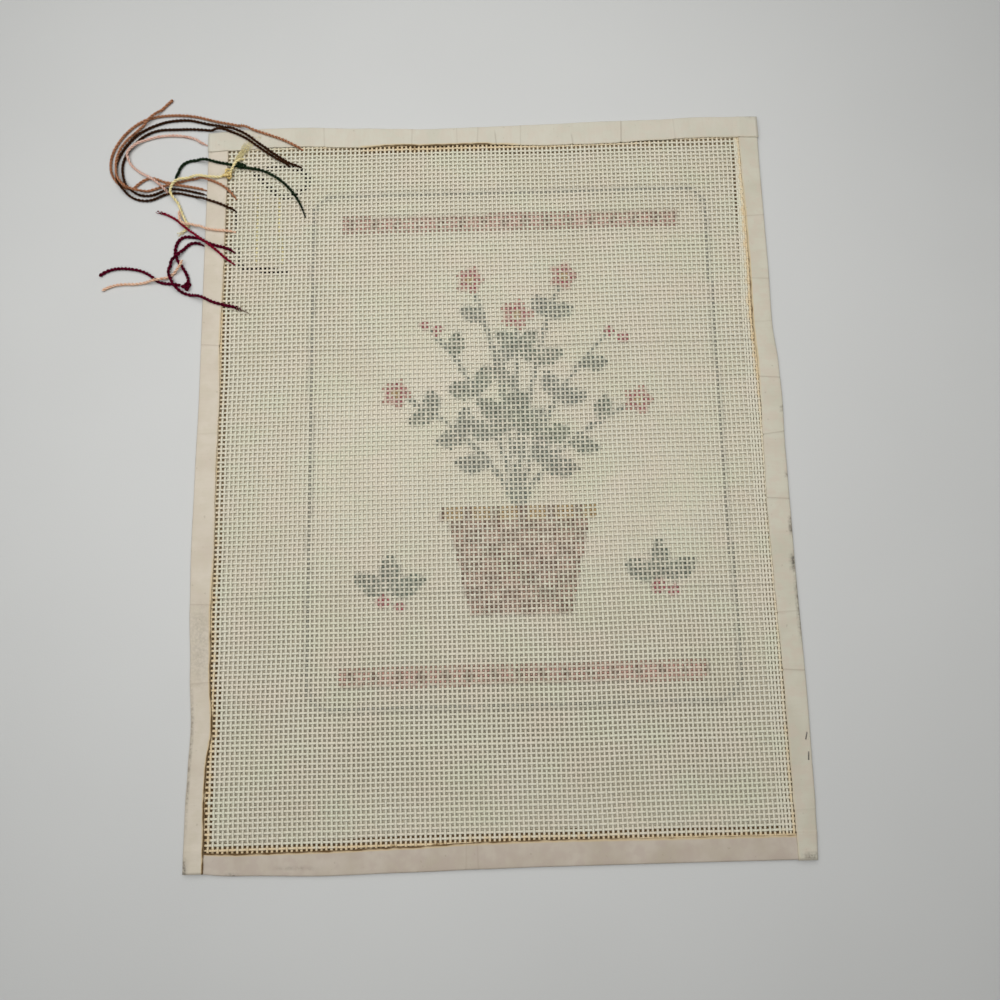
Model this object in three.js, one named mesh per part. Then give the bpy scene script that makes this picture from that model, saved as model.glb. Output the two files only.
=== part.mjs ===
import * as THREE from 'three';

// A needlepoint canvas panel lying on a table with its back up.
// One sheet of open mesh canvas is bound on its four sides by strips of cotton tape, each folded
// over the edge, and the ends of wool yarn lie loose at one corner.
// Millimetres, +Z up, the origin under the middle of the panel, on the table.

// Driving dimensions of the panel
const PANEL_WIDTH = 275;
const PANEL_LENGTH = 351;
const CANVAS_THICKNESS = 1;
const TAPE_THICKNESS = 1;
const GAP = 0.3;

// The stack of layers at the edge: under leg of the tape, canvas, upper leg of the tape
const EDGE_THICKNESS = 2 * TAPE_THICKNESS + 2 * GAP + CANVAS_THICKNESS;
const MIDDLE_HEIGHT = EDGE_THICKNESS / 2;
const CANVAS_INSET = 2 * TAPE_THICKNESS + GAP;
const UNDER_LEG_EXTRA = 3;
const FOLD_ANGLES = [90, 45, 0, -45, -90];
const TAPE_STEP = 14;
const SEAM_GAP = 1.5 * GAP;

// The canvas sinks to the table inside its bound edge, and lies a little uneven there
const CANVAS_COLUMNS = 28;
const CANVAS_ROWS = 36;
const SAG = 0.8;
const SAG_STARTS = 18;
const SAG_ENDS = 60;
const WAVES = [
  { rise: 0.2, acrossX: 150, acrossY: -420, phase: 0.4 },
  { rise: 0.15, acrossX: -260, acrossY: 130, phase: 2.1 },
];

// Wool yarn
const YARN_DIAMETER = 1.6;
const YARN_SIDES = 8;
const YARN_STEP = 3.2;
const YARN_OVER_YARN = YARN_DIAMETER + 0.5;
const YARN_OVER_CLOTH = YARN_DIAMETER / 2 + 0.35;
const YARN_ON_TABLE = YARN_DIAMETER / 2 + 0.1;
const LAY_STEP = 1;
const HUMP_BEND = 0.055;
const TUCKED_LENGTH = 2.2;

// Each side of the panel: how far the fold (outer) and the visible leg of the tape (inner) stand
// in from the nominal rectangle, at places along the side (at)
const LEFT_SIDE = [
  { at: -176, outer: 2.0, inner: 11.0 },
  { at: -160, outer: 1.9, inner: 10.8 },
  { at: -146, outer: 1.9, inner: 10.3 },
  { at: -132, outer: 2.4, inner: 10.6 },
  { at: -114, outer: 3.0, inner: 12.6 },
  { at: -88, outer: 1.7, inner: 11.0 },
  { at: -62, outer: 0.5, inner: 10.3 },
  { at: -36, outer: 0.0, inner: 10.7 },
  { at: 0, outer: 0.3, inner: 10.2 },
  { at: 36, outer: 0.8, inner: 10.7 },
  { at: 64, outer: 0.7, inner: 10.0 },
  { at: 100, outer: 0.6, inner: 10.4 },
  { at: 176, outer: 0.7, inner: 10.7 },
];
const RIGHT_SIDE = [
  { at: -176, outer: 2.7, inner: 11.3 },
  { at: -160, outer: 2.0, inner: 11.2 },
  { at: -148, outer: 1.5, inner: 11.2 },
  { at: -100, outer: 0.9, inner: 11.0 },
  { at: -50, outer: 1.1, inner: 11.4 },
  { at: -24, outer: 0.9, inner: 11.7 },
  { at: 4, outer: 0.7, inner: 11.0 },
  { at: 30, outer: 0.0, inner: 10.4 },
  { at: 46, outer: 0.3, inner: 10.5 },
  { at: 66, outer: 1.6, inner: 11.1 },
  { at: 100, outer: 1.0, inner: 10.4 },
  { at: 140, outer: 0.9, inner: 10.2 },
  { at: 176, outer: 0.5, inner: 10.3 },
];
const TOP_SIDE = [
  { at: -138, outer: 2.3, inner: 12.8 },
  { at: -123, outer: 1.0, inner: 12.2 },
  { at: -109, outer: 0.3, inner: 11.2 },
  { at: -92, outer: 0.2, inner: 11.0 },
  { at: -60, outer: 1.5, inner: 12.5 },
  { at: -30, outer: 2.8, inner: 13.3 },
  { at: 0, outer: 2.4, inner: 12.8 },
  { at: 30, outer: 1.8, inner: 13.6 },
  { at: 60, outer: 1.0, inner: 13.4 },
  { at: 86, outer: 0.8, inner: 12.3 },
  { at: 108, outer: 0.0, inner: 11.5 },
  { at: 123, outer: 0.3, inner: 11.7 },
  { at: 138, outer: 0.6, inner: 12.4 },
];
const BOTTOM_SIDE = [
  { at: -138, outer: 2.3, inner: 11.0 },
  { at: -112, outer: 0.9, inner: 10.0 },
  { at: -75, outer: 0.0, inner: 10.3 },
  { at: -40, outer: 0.5, inner: 11.0 },
  { at: -8, outer: 1.0, inner: 12.1 },
  { at: 20, outer: 1.3, inner: 12.3 },
  { at: 80, outer: 1.4, inner: 11.8 },
  { at: 138, outer: 1.4, inner: 11.6 },
];

// The yarn ends in the order in which they came to lie, each over those before it.
// Columns of a route: x, y. An end that goes in under the panel is tucked.
const YARNS = [
  {
    name: 'yarn_rust_loop',
    colour: 0x9b6241,
    route: [
      [-89.6, 162.9], [-92.7, 164.3], [-98, 167.3], [-104.2, 170], [-113.4, 173.6],
      [-121.1, 177.2], [-133.4, 180.2], [-143.8, 183.1], [-153, 184.2], [-163, 183.7],
      [-170.6, 181.3], [-176.5, 177], [-182, 170], [-185.3, 161], [-184.4, 152.5],
      [-179.6, 146.4], [-173.9, 144.7], [-171.2, 146.9], [-168, 149.2], [-164.7, 150.1],
      [-161.3, 149.2], [-158.4, 147.9], [-154.6, 147.3], [-150.8, 147.6], [-146, 148.8],
      [-140, 149], [-134.1, 146.9], [-129.8, 144.8], [-126, 141.9], [-121.9, 137.2],
    ],
  },
  {
    name: 'yarn_brown_loop',
    colour: 0x3e1e0e,
    route: [
      [-89.5, 153.2], [-95.5, 155.7], [-101.7, 160], [-107, 164], [-111.7, 167.5],
      [-115.6, 170.7], [-119.5, 173.2], [-125.6, 175.9], [-131, 177.6], [-137.9, 179],
      [-147.5, 181.3], [-156.7, 181], [-162.8, 179.4], [-170.3, 175.8], [-175.2, 171.6],
      [-180.2, 164.5], [-182.6, 156.5], [-180.9, 148.6], [-177.1, 142.8], [-174.7, 140.6],
      [-171.3, 138.8], [-166.5, 138.1], [-162.8, 138.8], [-159.5, 140.3], [-156, 141.6],
      [-150.7, 141.6], [-146.8, 140.7], [-142.1, 139.4], [-136.1, 136.9], [-130.4, 134.8],
      [-125.7, 132.6], [-121.9, 131],
    ],
  },
  {
    name: 'yarn_brown_tuck',
    colour: 0x4a2514,
    tucked: true,
    route: [
      [-96.3, 152.8], [-103.2, 157.1], [-109.3, 161.4], [-114, 164.9], [-118, 168.2],
      [-122, 170.6], [-127.5, 172.8], [-132, 174.4], [-137.8, 175.6], [-145, 176.3],
      [-151.2, 176.4], [-162.7, 176], [-168.7, 173.6], [-173, 170], [-177.2, 164.6],
      [-179.4, 157.4], [-178.6, 150.4], [-175.6, 144.8], [-171.4, 141.7], [-167.1, 140.7],
      [-163.3, 141.1], [-160.1, 142.4], [-156.8, 143.9], [-153, 144], [-146.9, 143],
      [-142.1, 141.8], [-137.3, 140.5],
    ],
  },
  {
    name: 'yarn_rust_tuck',
    colour: 0x8f5a3c,
    tucked: true,
    route: [
      [-156.1, 192.9], [-159.4, 189.6], [-163.8, 185], [-168.3, 180.7], [-172.6, 176.6],
      [-176.8, 171.8], [-180.6, 165.2], [-182.2, 157.2], [-180.4, 149.6], [-176.4, 145],
      [-172.8, 143.2], [-168.5, 142.8], [-164.3, 143.7], [-160.2, 145], [-156.4, 146],
      [-152, 146], [-148, 145.4], [-143, 144.4], [-137.3, 143],
    ],
  },
  {
    name: 'yarn_green',
    colour: 0x192d19,
    route: [
      [-152, 147.8], [-151.7, 151.1], [-151, 154.4], [-148.8, 157.5], [-145.1, 159],
      [-139, 158.8], [-131, 156.6], [-125, 155.3], [-120.4, 154.3], [-116.6, 153.3],
      [-112.1, 152.6], [-107.5, 151], [-101.4, 147.2], [-96.8, 142.9], [-92.9, 137.9],
      [-89.9, 132.2], [-87.9, 126.5],
    ],
  },
  {
    name: 'yarn_pink',
    colour: 0xcda596,
    tucked: true,
    route: [
      [-155.3, 141.1], [-158.8, 144.8], [-162.2, 147.9], [-164.4, 149.4], [-169.1, 152.4],
      [-173.9, 156.2], [-176.5, 160.1], [-176.9, 163.8], [-174.4, 167.2], [-170, 170.4],
      [-162.5, 172.6], [-156.4, 173.1], [-149.5, 172.5], [-144, 170.9], [-140.9, 168.9],
      [-137.8, 167.4],
    ],
  },
  {
    name: 'yarn_yellow',
    colour: 0xe1cd8c,
    route: [
      [-118.5, 159.3], [-122.2, 155.7], [-124.4, 152], [-127.4, 149.6], [-131.2, 148.6],
      [-135.9, 148.4], [-141.4, 149.4], [-147.1, 148.8], [-150.8, 147.5], [-153.4, 145.4],
      [-154.3, 142.4], [-153.3, 139.3], [-151.3, 136.6], [-149.8, 133.5], [-148.7, 130.5],
      [-147.2, 127.4], [-146.1, 124.8], [-146.5, 122.3], [-148.3, 120.6], [-150.6, 119.6],
    ],
  },
  {
    name: 'yarn_maroon_short',
    colour: 0x4b0519,
    route: [
      [-121.9, 109.2], [-125.9, 111.1], [-130.6, 112.4], [-135.3, 114.3], [-140.2, 117.3],
      [-144, 118.2], [-147.2, 118.2], [-149.5, 116.7], [-151, 113.4], [-151.1, 109.4],
      [-149.8, 105.9], [-147.5, 102.6], [-145.5, 99.3], [-144.3, 95.8], [-144.8, 93],
    ],
  },
  {
    name: 'yarn_maroon_tail',
    colour: 0x550820,
    route: [
      [-187.6, 99.2], [-184, 101.4], [-179.6, 102.6], [-175.1, 102.6], [-170.7, 102],
      [-166.9, 100.9], [-163.6, 99.2], [-161.2, 97.3], [-158.8, 95.4], [-155.5, 94.4],
      [-151.8, 94], [-148.2, 93.4],
    ],
  },
  {
    name: 'yarn_peach_tail',
    colour: 0xdbb49c,
    route: [
      [-185.8, 91.6], [-182.4, 93.2], [-178.8, 94.2], [-174.7, 94.5], [-170.3, 94.4],
      [-165.7, 94.9], [-161.5, 95.6], [-157.9, 96.2], [-154.7, 97.1], [-152.2, 98.8],
      [-149.8, 100.9], [-148, 103.3], [-147.4, 105.8],
    ],
  },
  {
    name: 'yarn_maroon_tuck',
    colour: 0x4b0519,
    tucked: true,
    route: [
      [-117.6, 79.2], [-121.3, 80.9], [-125.9, 81.9], [-131.4, 83.6], [-137.1, 86.4],
      [-142.7, 88], [-147.2, 89.7], [-150.3, 92.6], [-152.3, 96], [-153.4, 99.3],
      [-153.5, 102.7], [-152.5, 105.7], [-150.1, 108.1], [-147.9, 110.8], [-145.6, 113.4],
      [-143.4, 114.8], [-140.6, 114.9], [-137.2, 113.4],
    ],
  },
  {
    name: 'yarn_crimson',
    colour: 0x820a28,
    route: [
      [-161.5, 132], [-159.1, 131.4], [-154.8, 129.6], [-150.9, 127], [-147.5, 123.7],
      [-145, 121.6], [-141.2, 118.5], [-138.3, 116], [-133.8, 112.5], [-130.5, 110],
      [-125.7, 105.6], [-121.7, 102.8],
    ],
  },
  {
    name: 'yarn_peach',
    colour: 0xe1b48c,
    route: [
      [-149.8, 131.5], [-149.5, 128.4], [-148.4, 125.8], [-146.3, 124.3], [-143.3, 124.2],
      [-140.5, 123.6], [-136, 121.6], [-131.8, 120.7], [-127.1, 120.2], [-121.8, 119.9],
    ],
  },
];

const CANVAS_FINISH = { color: 0xdcd4be, roughness: 0.9 };
const TAPE_FINISH = { color: 0xc8bda8, roughness: 0.8 };
const WOOL_ROUGHNESS = 0.95;

// A column of a table at any place, on a smooth curve through its rows
function tableAt(rows, column, at) {
  const last = rows.length - 1;
  const limited = THREE.MathUtils.clamp(at, rows[0].at, rows[last].at);
  let row = 0;
  while (row < last - 1 && rows[row + 1].at < limited) {
    row += 1;
  }
  const share = (limited - rows[row].at) / (rows[row + 1].at - rows[row].at);
  const eased = THREE.MathUtils.smoothstep(share, 0, 1);
  return THREE.MathUtils.lerp(rows[row][column], rows[row + 1][column], eased);
}

// The sides as places in the plane: along the side, and in from the nominal edge
const SIDES = {
  left: { rows: LEFT_SIDE, place: (along, inward) => [inward - PANEL_WIDTH / 2, along] },
  right: { rows: RIGHT_SIDE, place: (along, inward) => [PANEL_WIDTH / 2 - inward, along] },
  top: { rows: TOP_SIDE, place: (along, inward) => [along, PANEL_LENGTH / 2 - inward] },
  bottom: { rows: BOTTOM_SIDE, place: (along, inward) => [along, inward - PANEL_LENGTH / 2] },
};

// How far a point of the panel is in from the nearest nominal edge
function edgeDistance(x, y) {
  return Math.min(PANEL_WIDTH / 2 - Math.abs(x), PANEL_LENGTH / 2 - Math.abs(y));
}

// The height of the middle of the canvas above the table
function canvasHeight(x, y) {
  const inside = THREE.MathUtils.smoothstep(edgeDistance(x, y), SAG_STARTS, SAG_ENDS);
  let height = MIDDLE_HEIGHT - SAG * inside;
  for (const wave of WAVES) {
    const turn = 2 * Math.PI * (x / wave.acrossX + y / wave.acrossY) + wave.phase;
    height += wave.rise * inside * Math.sin(turn);
  }
  return height;
}

// A closed mesh from its corners and faces, turned so that its faces point out
function closedMesh(name, corners, faces, finish) {
  let volume = 0;
  const a = new THREE.Vector3();
  const b = new THREE.Vector3();
  const c = new THREE.Vector3();
  for (const [i, j, k] of faces) {
    a.fromArray(corners[i]);
    b.fromArray(corners[j]);
    c.fromArray(corners[k]);
    volume += a.dot(b.cross(c));
  }
  const outward = volume > 0 ? faces : faces.map(([i, j, k]) => [i, k, j]);
  const geometry = new THREE.BufferGeometry();
  geometry.setAttribute('position', new THREE.Float32BufferAttribute(corners.flat(), 3));
  geometry.setIndex(outward.flat());
  geometry.computeVertexNormals();
  const mesh = new THREE.Mesh(geometry, new THREE.MeshStandardMaterial(finish));
  mesh.name = name;
  return mesh;
}

// The canvas: one thin sheet whose outline follows the four folds of the tape
function makeCanvas() {
  const corners = [];
  const faces = [];
  const perLayer = (CANVAS_COLUMNS + 1) * (CANVAS_ROWS + 1);
  for (const layer of [-0.5, 0.5]) {
    for (let row = 0; row <= CANVAS_ROWS; row += 1) {
      for (let column = 0; column <= CANVAS_COLUMNS; column += 1) {
        const across = column / CANVAS_COLUMNS;
        const along = row / CANVAS_ROWS;
        const straightX = (across - 0.5) * PANEL_WIDTH;
        const straightY = (along - 0.5) * PANEL_LENGTH;
        const left = -PANEL_WIDTH / 2 + tableAt(LEFT_SIDE, 'outer', straightY) + CANVAS_INSET;
        const right = PANEL_WIDTH / 2 - tableAt(RIGHT_SIDE, 'outer', straightY) - CANVAS_INSET;
        const bottom = -PANEL_LENGTH / 2 + tableAt(BOTTOM_SIDE, 'outer', straightX) + CANVAS_INSET;
        const top = PANEL_LENGTH / 2 - tableAt(TOP_SIDE, 'outer', straightX) - CANVAS_INSET;
        const x = THREE.MathUtils.lerp(left, right, across);
        const y = THREE.MathUtils.lerp(bottom, top, along);
        corners.push([x, y, canvasHeight(x, y) + layer * CANVAS_THICKNESS]);
      }
    }
  }
  const corner = (row, column, layer) => layer * perLayer + row * (CANVAS_COLUMNS + 1) + column;
  const addQuad = (p, q, r, s) => faces.push([p, q, r], [p, r, s]);
  for (let row = 0; row < CANVAS_ROWS; row += 1) {
    for (let column = 0; column < CANVAS_COLUMNS; column += 1) {
      for (const layer of [0, 1]) {
        const square = [
          corner(row, column, layer),
          corner(row, column + 1, layer),
          corner(row + 1, column + 1, layer),
          corner(row + 1, column, layer),
        ];
        addQuad(...(layer === 1 ? square : square.reverse()));
      }
    }
  }
  const rim = [];
  for (let column = 0; column < CANVAS_COLUMNS; column += 1) {
    rim.push([0, column]);
  }
  for (let row = 0; row < CANVAS_ROWS; row += 1) {
    rim.push([row, CANVAS_COLUMNS]);
  }
  for (let column = CANVAS_COLUMNS; column > 0; column -= 1) {
    rim.push([CANVAS_ROWS, column]);
  }
  for (let row = CANVAS_ROWS; row > 0; row -= 1) {
    rim.push([row, 0]);
  }
  rim.forEach(([row, column], index) => {
    const [nextRow, nextColumn] = rim[(index + 1) % rim.length];
    addQuad(
      corner(row, column, 0),
      corner(nextRow, nextColumn, 0),
      corner(nextRow, nextColumn, 1),
      corner(row, column, 1),
    );
  });
  return closedMesh('canvas', corners, faces, CANVAS_FINISH);
}

// The section of a folded tape as a ring of points: how far in from the fold, and the height.
// It runs along the outer face from the upper leg to the under leg and back along the inner face,
// so that each outer point has its partner across the tape.
function tapeSection(upperReach, underReach) {
  const outerRadius = MIDDLE_HEIGHT;
  const innerRadius = MIDDLE_HEIGHT - TAPE_THICKNESS;
  const onFold = (radius, degrees) => {
    const angle = THREE.MathUtils.degToRad(degrees);
    return [outerRadius - radius * Math.cos(angle), MIDDLE_HEIGHT + radius * Math.sin(angle)];
  };
  const outerFace = FOLD_ANGLES.map((degrees) => onFold(outerRadius, degrees));
  const innerFace = FOLD_ANGLES.map((degrees) => onFold(innerRadius, degrees));
  return [
    [upperReach, EDGE_THICKNESS],
    ...outerFace,
    [underReach, 0],
    [underReach, TAPE_THICKNESS],
    ...innerFace.reverse(),
    [upperReach, EDGE_THICKNESS - TAPE_THICKNESS],
  ];
}

// A strip of tape folded over one side. Its start and end say where along the side the strip
// stops, for a point so far in from the nominal edge and for the upper or the under leg.
function makeTape(name, side, start, end) {
  const { rows, place } = SIDES[side];
  const first = start(0, 0);
  const whole = end(0, 0) - first;
  const stations = Math.round(whole / TAPE_STEP);
  const corners = [];
  const faces = [];
  let section = [];
  for (let station = 0; station <= stations; station += 1) {
    const share = station / stations;
    const outer = tableAt(rows, 'outer', first + share * whole);
    const inner = tableAt(rows, 'inner', first + share * whole);
    section = tapeSection(inner - outer, inner - outer + UNDER_LEG_EXTRA);
    for (const [fromFold, height] of section) {
      const inward = outer + fromFold;
      const extra = height > MIDDLE_HEIGHT ? 0 : UNDER_LEG_EXTRA;
      const along = THREE.MathUtils.lerp(start(inward, extra), end(inward, extra), share);
      corners.push([...place(along, inward), height]);
    }
  }
  const count = section.length;
  for (let station = 0; station < stations; station += 1) {
    for (let point = 0; point < count; point += 1) {
      const here = station * count + point;
      const beside = station * count + ((point + 1) % count);
      faces.push([here, beside, beside + count], [here, beside + count, here + count]);
    }
  }
  const lastRing = stations * count;
  for (let point = 0; point < count / 2 - 1; point += 1) {
    const partner = count - 1 - point;
    const band = [point, partner, partner - 1, point + 1];
    const [p, q, r, t] = band;
    faces.push([p, q, r], [p, r, t]);
    const [u, v, w, x] = band.map((corner) => lastRing + corner).reverse();
    faces.push([u, v, w], [u, w, x]);
  }
  return closedMesh(name, corners, faces, TAPE_FINISH);
}

// The four strips: the top one runs over both upper corners, the side ones over the lower corners
function makeTapes() {
  const halfWidth = PANEL_WIDTH / 2;
  const halfLength = PANEL_LENGTH / 2;
  const underTop = (sign) => (inward, extra) =>
    halfLength - tableAt(TOP_SIDE, 'inner', sign * (halfWidth - inward)) - extra - SEAM_GAP;
  const besideLeft = (inward, extra) =>
    tableAt(LEFT_SIDE, 'inner', inward - halfLength) + extra + SEAM_GAP - halfWidth;
  const besideRight = (inward, extra) =>
    halfWidth - tableAt(RIGHT_SIDE, 'inner', inward - halfLength) - extra - SEAM_GAP;
  const topStart = tableAt(LEFT_SIDE, 'outer', halfLength) - halfWidth;
  const topEnd = halfWidth - tableAt(RIGHT_SIDE, 'outer', halfLength);
  const lowerLeft = tableAt(BOTTOM_SIDE, 'outer', -halfWidth) - halfLength;
  const lowerRight = tableAt(BOTTOM_SIDE, 'outer', halfWidth) - halfLength;
  return [
    makeTape('tape_top', 'top', () => topStart, () => topEnd),
    makeTape('tape_left', 'left', () => lowerLeft, underTop(-1)),
    makeTape('tape_right', 'right', () => lowerRight, underTop(1)),
    makeTape('tape_bottom', 'bottom', besideLeft, besideRight),
  ];
}

// The lowest height at which the middle of a yarn can pass over a place: on the table, over the
// tape, or on the canvas
function supportHeight(x, y) {
  const fromLeft = x + PANEL_WIDTH / 2;
  const fromTop = PANEL_LENGTH / 2 - y;
  const pastLeft = fromLeft - tableAt(LEFT_SIDE, 'outer', y);
  const pastTop = fromTop - tableAt(TOP_SIDE, 'outer', x);
  if (pastLeft < -YARN_OVER_CLOTH || pastTop < -YARN_OVER_CLOTH) {
    return YARN_ON_TABLE;
  }
  const onCanvas =
    fromLeft > tableAt(LEFT_SIDE, 'inner', y) + YARN_OVER_CLOTH &&
    fromTop > tableAt(TOP_SIDE, 'inner', x) + YARN_OVER_CLOTH;
  const top = onCanvas ? canvasHeight(x, y) + CANVAS_THICKNESS / 2 : EDGE_THICKNESS;
  return top + YARN_OVER_CLOTH;
}

// Lays one yarn along its route, over what is under it, in long low humps
function layYarn(yarn, laid) {
  const flatCurve = new THREE.CatmullRomCurve3(
    yarn.route.map(([x, y]) => new THREE.Vector3(x, y, 0)),
    false,
    'centripetal',
  );
  const length = flatCurve.getLength();
  const count = Math.round(length / LAY_STEP);
  const places = flatCurve.getSpacedPoints(count);
  const step = length / count;
  const needed = places.map((place, index) => {
    const nearEnd = yarn.tucked && (count - index) * step < TUCKED_LENGTH;
    let height = nearEnd ? YARN_ON_TABLE : supportHeight(place.x, place.y);
    for (const other of laid) {
      for (const point of other) {
        const apart = Math.hypot(place.x - point.x, place.y - point.y);
        if (apart < YARN_OVER_YARN) {
          height = Math.max(height, point.z + Math.sqrt(YARN_OVER_YARN ** 2 - apart ** 2));
        }
      }
    }
    return height;
  });
  return places.map((place, index) => {
    const heights = needed.map((height, other) => height - HUMP_BEND * ((index - other) * step) ** 2);
    return new THREE.Vector3(place.x, place.y, Math.max(...heights));
  });
}

// A yarn as a plain tube along the line on which it was laid
function makeYarn(yarn, points) {
  const radius = YARN_DIAMETER / 2;
  const outline = [];
  for (let side = 0; side < YARN_SIDES; side += 1) {
    const angle = (2 * Math.PI * side) / YARN_SIDES;
    outline.push(new THREE.Vector2(radius * Math.cos(angle), radius * Math.sin(angle)));
  }
  const everyOther = points.filter((_, index) => index % 2 === 0 || index === points.length - 1);
  const path = new THREE.CatmullRomCurve3(everyOther, false, 'centripetal');
  const geometry = new THREE.ExtrudeGeometry(new THREE.Shape(outline), {
    steps: Math.round(path.getLength() / YARN_STEP),
    bevelEnabled: false,
    extrudePath: path,
  });
  const finish = { color: yarn.colour, roughness: WOOL_ROUGHNESS };
  const mesh = new THREE.Mesh(geometry, new THREE.MeshStandardMaterial(finish));
  mesh.name = yarn.name;
  return mesh;
}

const panel = new THREE.Group();
panel.add(makeCanvas(), ...makeTapes());

const laid = [];
for (const yarn of YARNS) {
  const points = layYarn(yarn, laid);
  panel.add(makeYarn(yarn, points));
  laid.push(points);
}

export default panel;
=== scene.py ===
"""The looks of a needlepoint canvas panel that lies on a table with its back up.

Everything is in metres, +Z up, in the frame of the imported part, whose origin is under the middle
of the panel on the table. The canvas is woven thread by thread, the tape is a folded strip on each
side, and each end of yarn is two plies twisted round each other along its own route.
"""

import logging
import math
from dataclasses import dataclass, field, replace
from enum import Enum

import bpy
import numpy as np
from mathutils import Matrix, Vector


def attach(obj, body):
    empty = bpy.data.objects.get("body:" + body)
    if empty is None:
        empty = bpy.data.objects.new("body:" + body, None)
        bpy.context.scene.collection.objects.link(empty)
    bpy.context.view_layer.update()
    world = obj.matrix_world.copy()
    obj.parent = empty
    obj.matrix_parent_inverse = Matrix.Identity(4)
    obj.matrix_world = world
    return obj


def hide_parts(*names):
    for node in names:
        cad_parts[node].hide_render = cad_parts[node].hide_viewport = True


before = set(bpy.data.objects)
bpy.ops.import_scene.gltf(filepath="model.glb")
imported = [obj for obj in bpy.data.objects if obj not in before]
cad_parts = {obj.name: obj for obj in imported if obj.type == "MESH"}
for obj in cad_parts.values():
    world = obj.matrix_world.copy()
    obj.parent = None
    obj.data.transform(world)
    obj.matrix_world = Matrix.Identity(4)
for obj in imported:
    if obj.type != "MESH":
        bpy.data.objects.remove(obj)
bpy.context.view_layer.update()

Array = np.ndarray
Piece = bpy.types.Object
Material = bpy.types.Material
Socket = bpy.types.NodeSocket
Point = tuple[float, float]

MM = 0.001
LOG = logging.getLogger("needlepoint_panel")


class Side(Enum):
    """The four sides of the panel, as seen from above."""

    LEFT = "left"
    RIGHT = "right"
    TOP = "top"
    BOTTOM = "bottom"

    @property
    def upright(self) -> bool:
        """Whether the side runs up and down the panel."""
        return self in (Side.LEFT, Side.RIGHT)

    @property
    def sign(self) -> int:
        """Where the side stands on its axis: -1 at the low end, 1 at the high end."""
        return -1 if self in (Side.LEFT, Side.BOTTOM) else 1


def rows_of(kind: type, *rows: tuple) -> tuple:
    """Makes the rows of a table, each from its values in the order of the kind's fields."""
    return tuple(kind(*row) for row in rows)


@dataclass(frozen=True)
class EdgeRow:
    """How far the fold and the visible leg of the tape stand in from the nominal edge."""

    at: float
    outer: float
    inner: float


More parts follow.
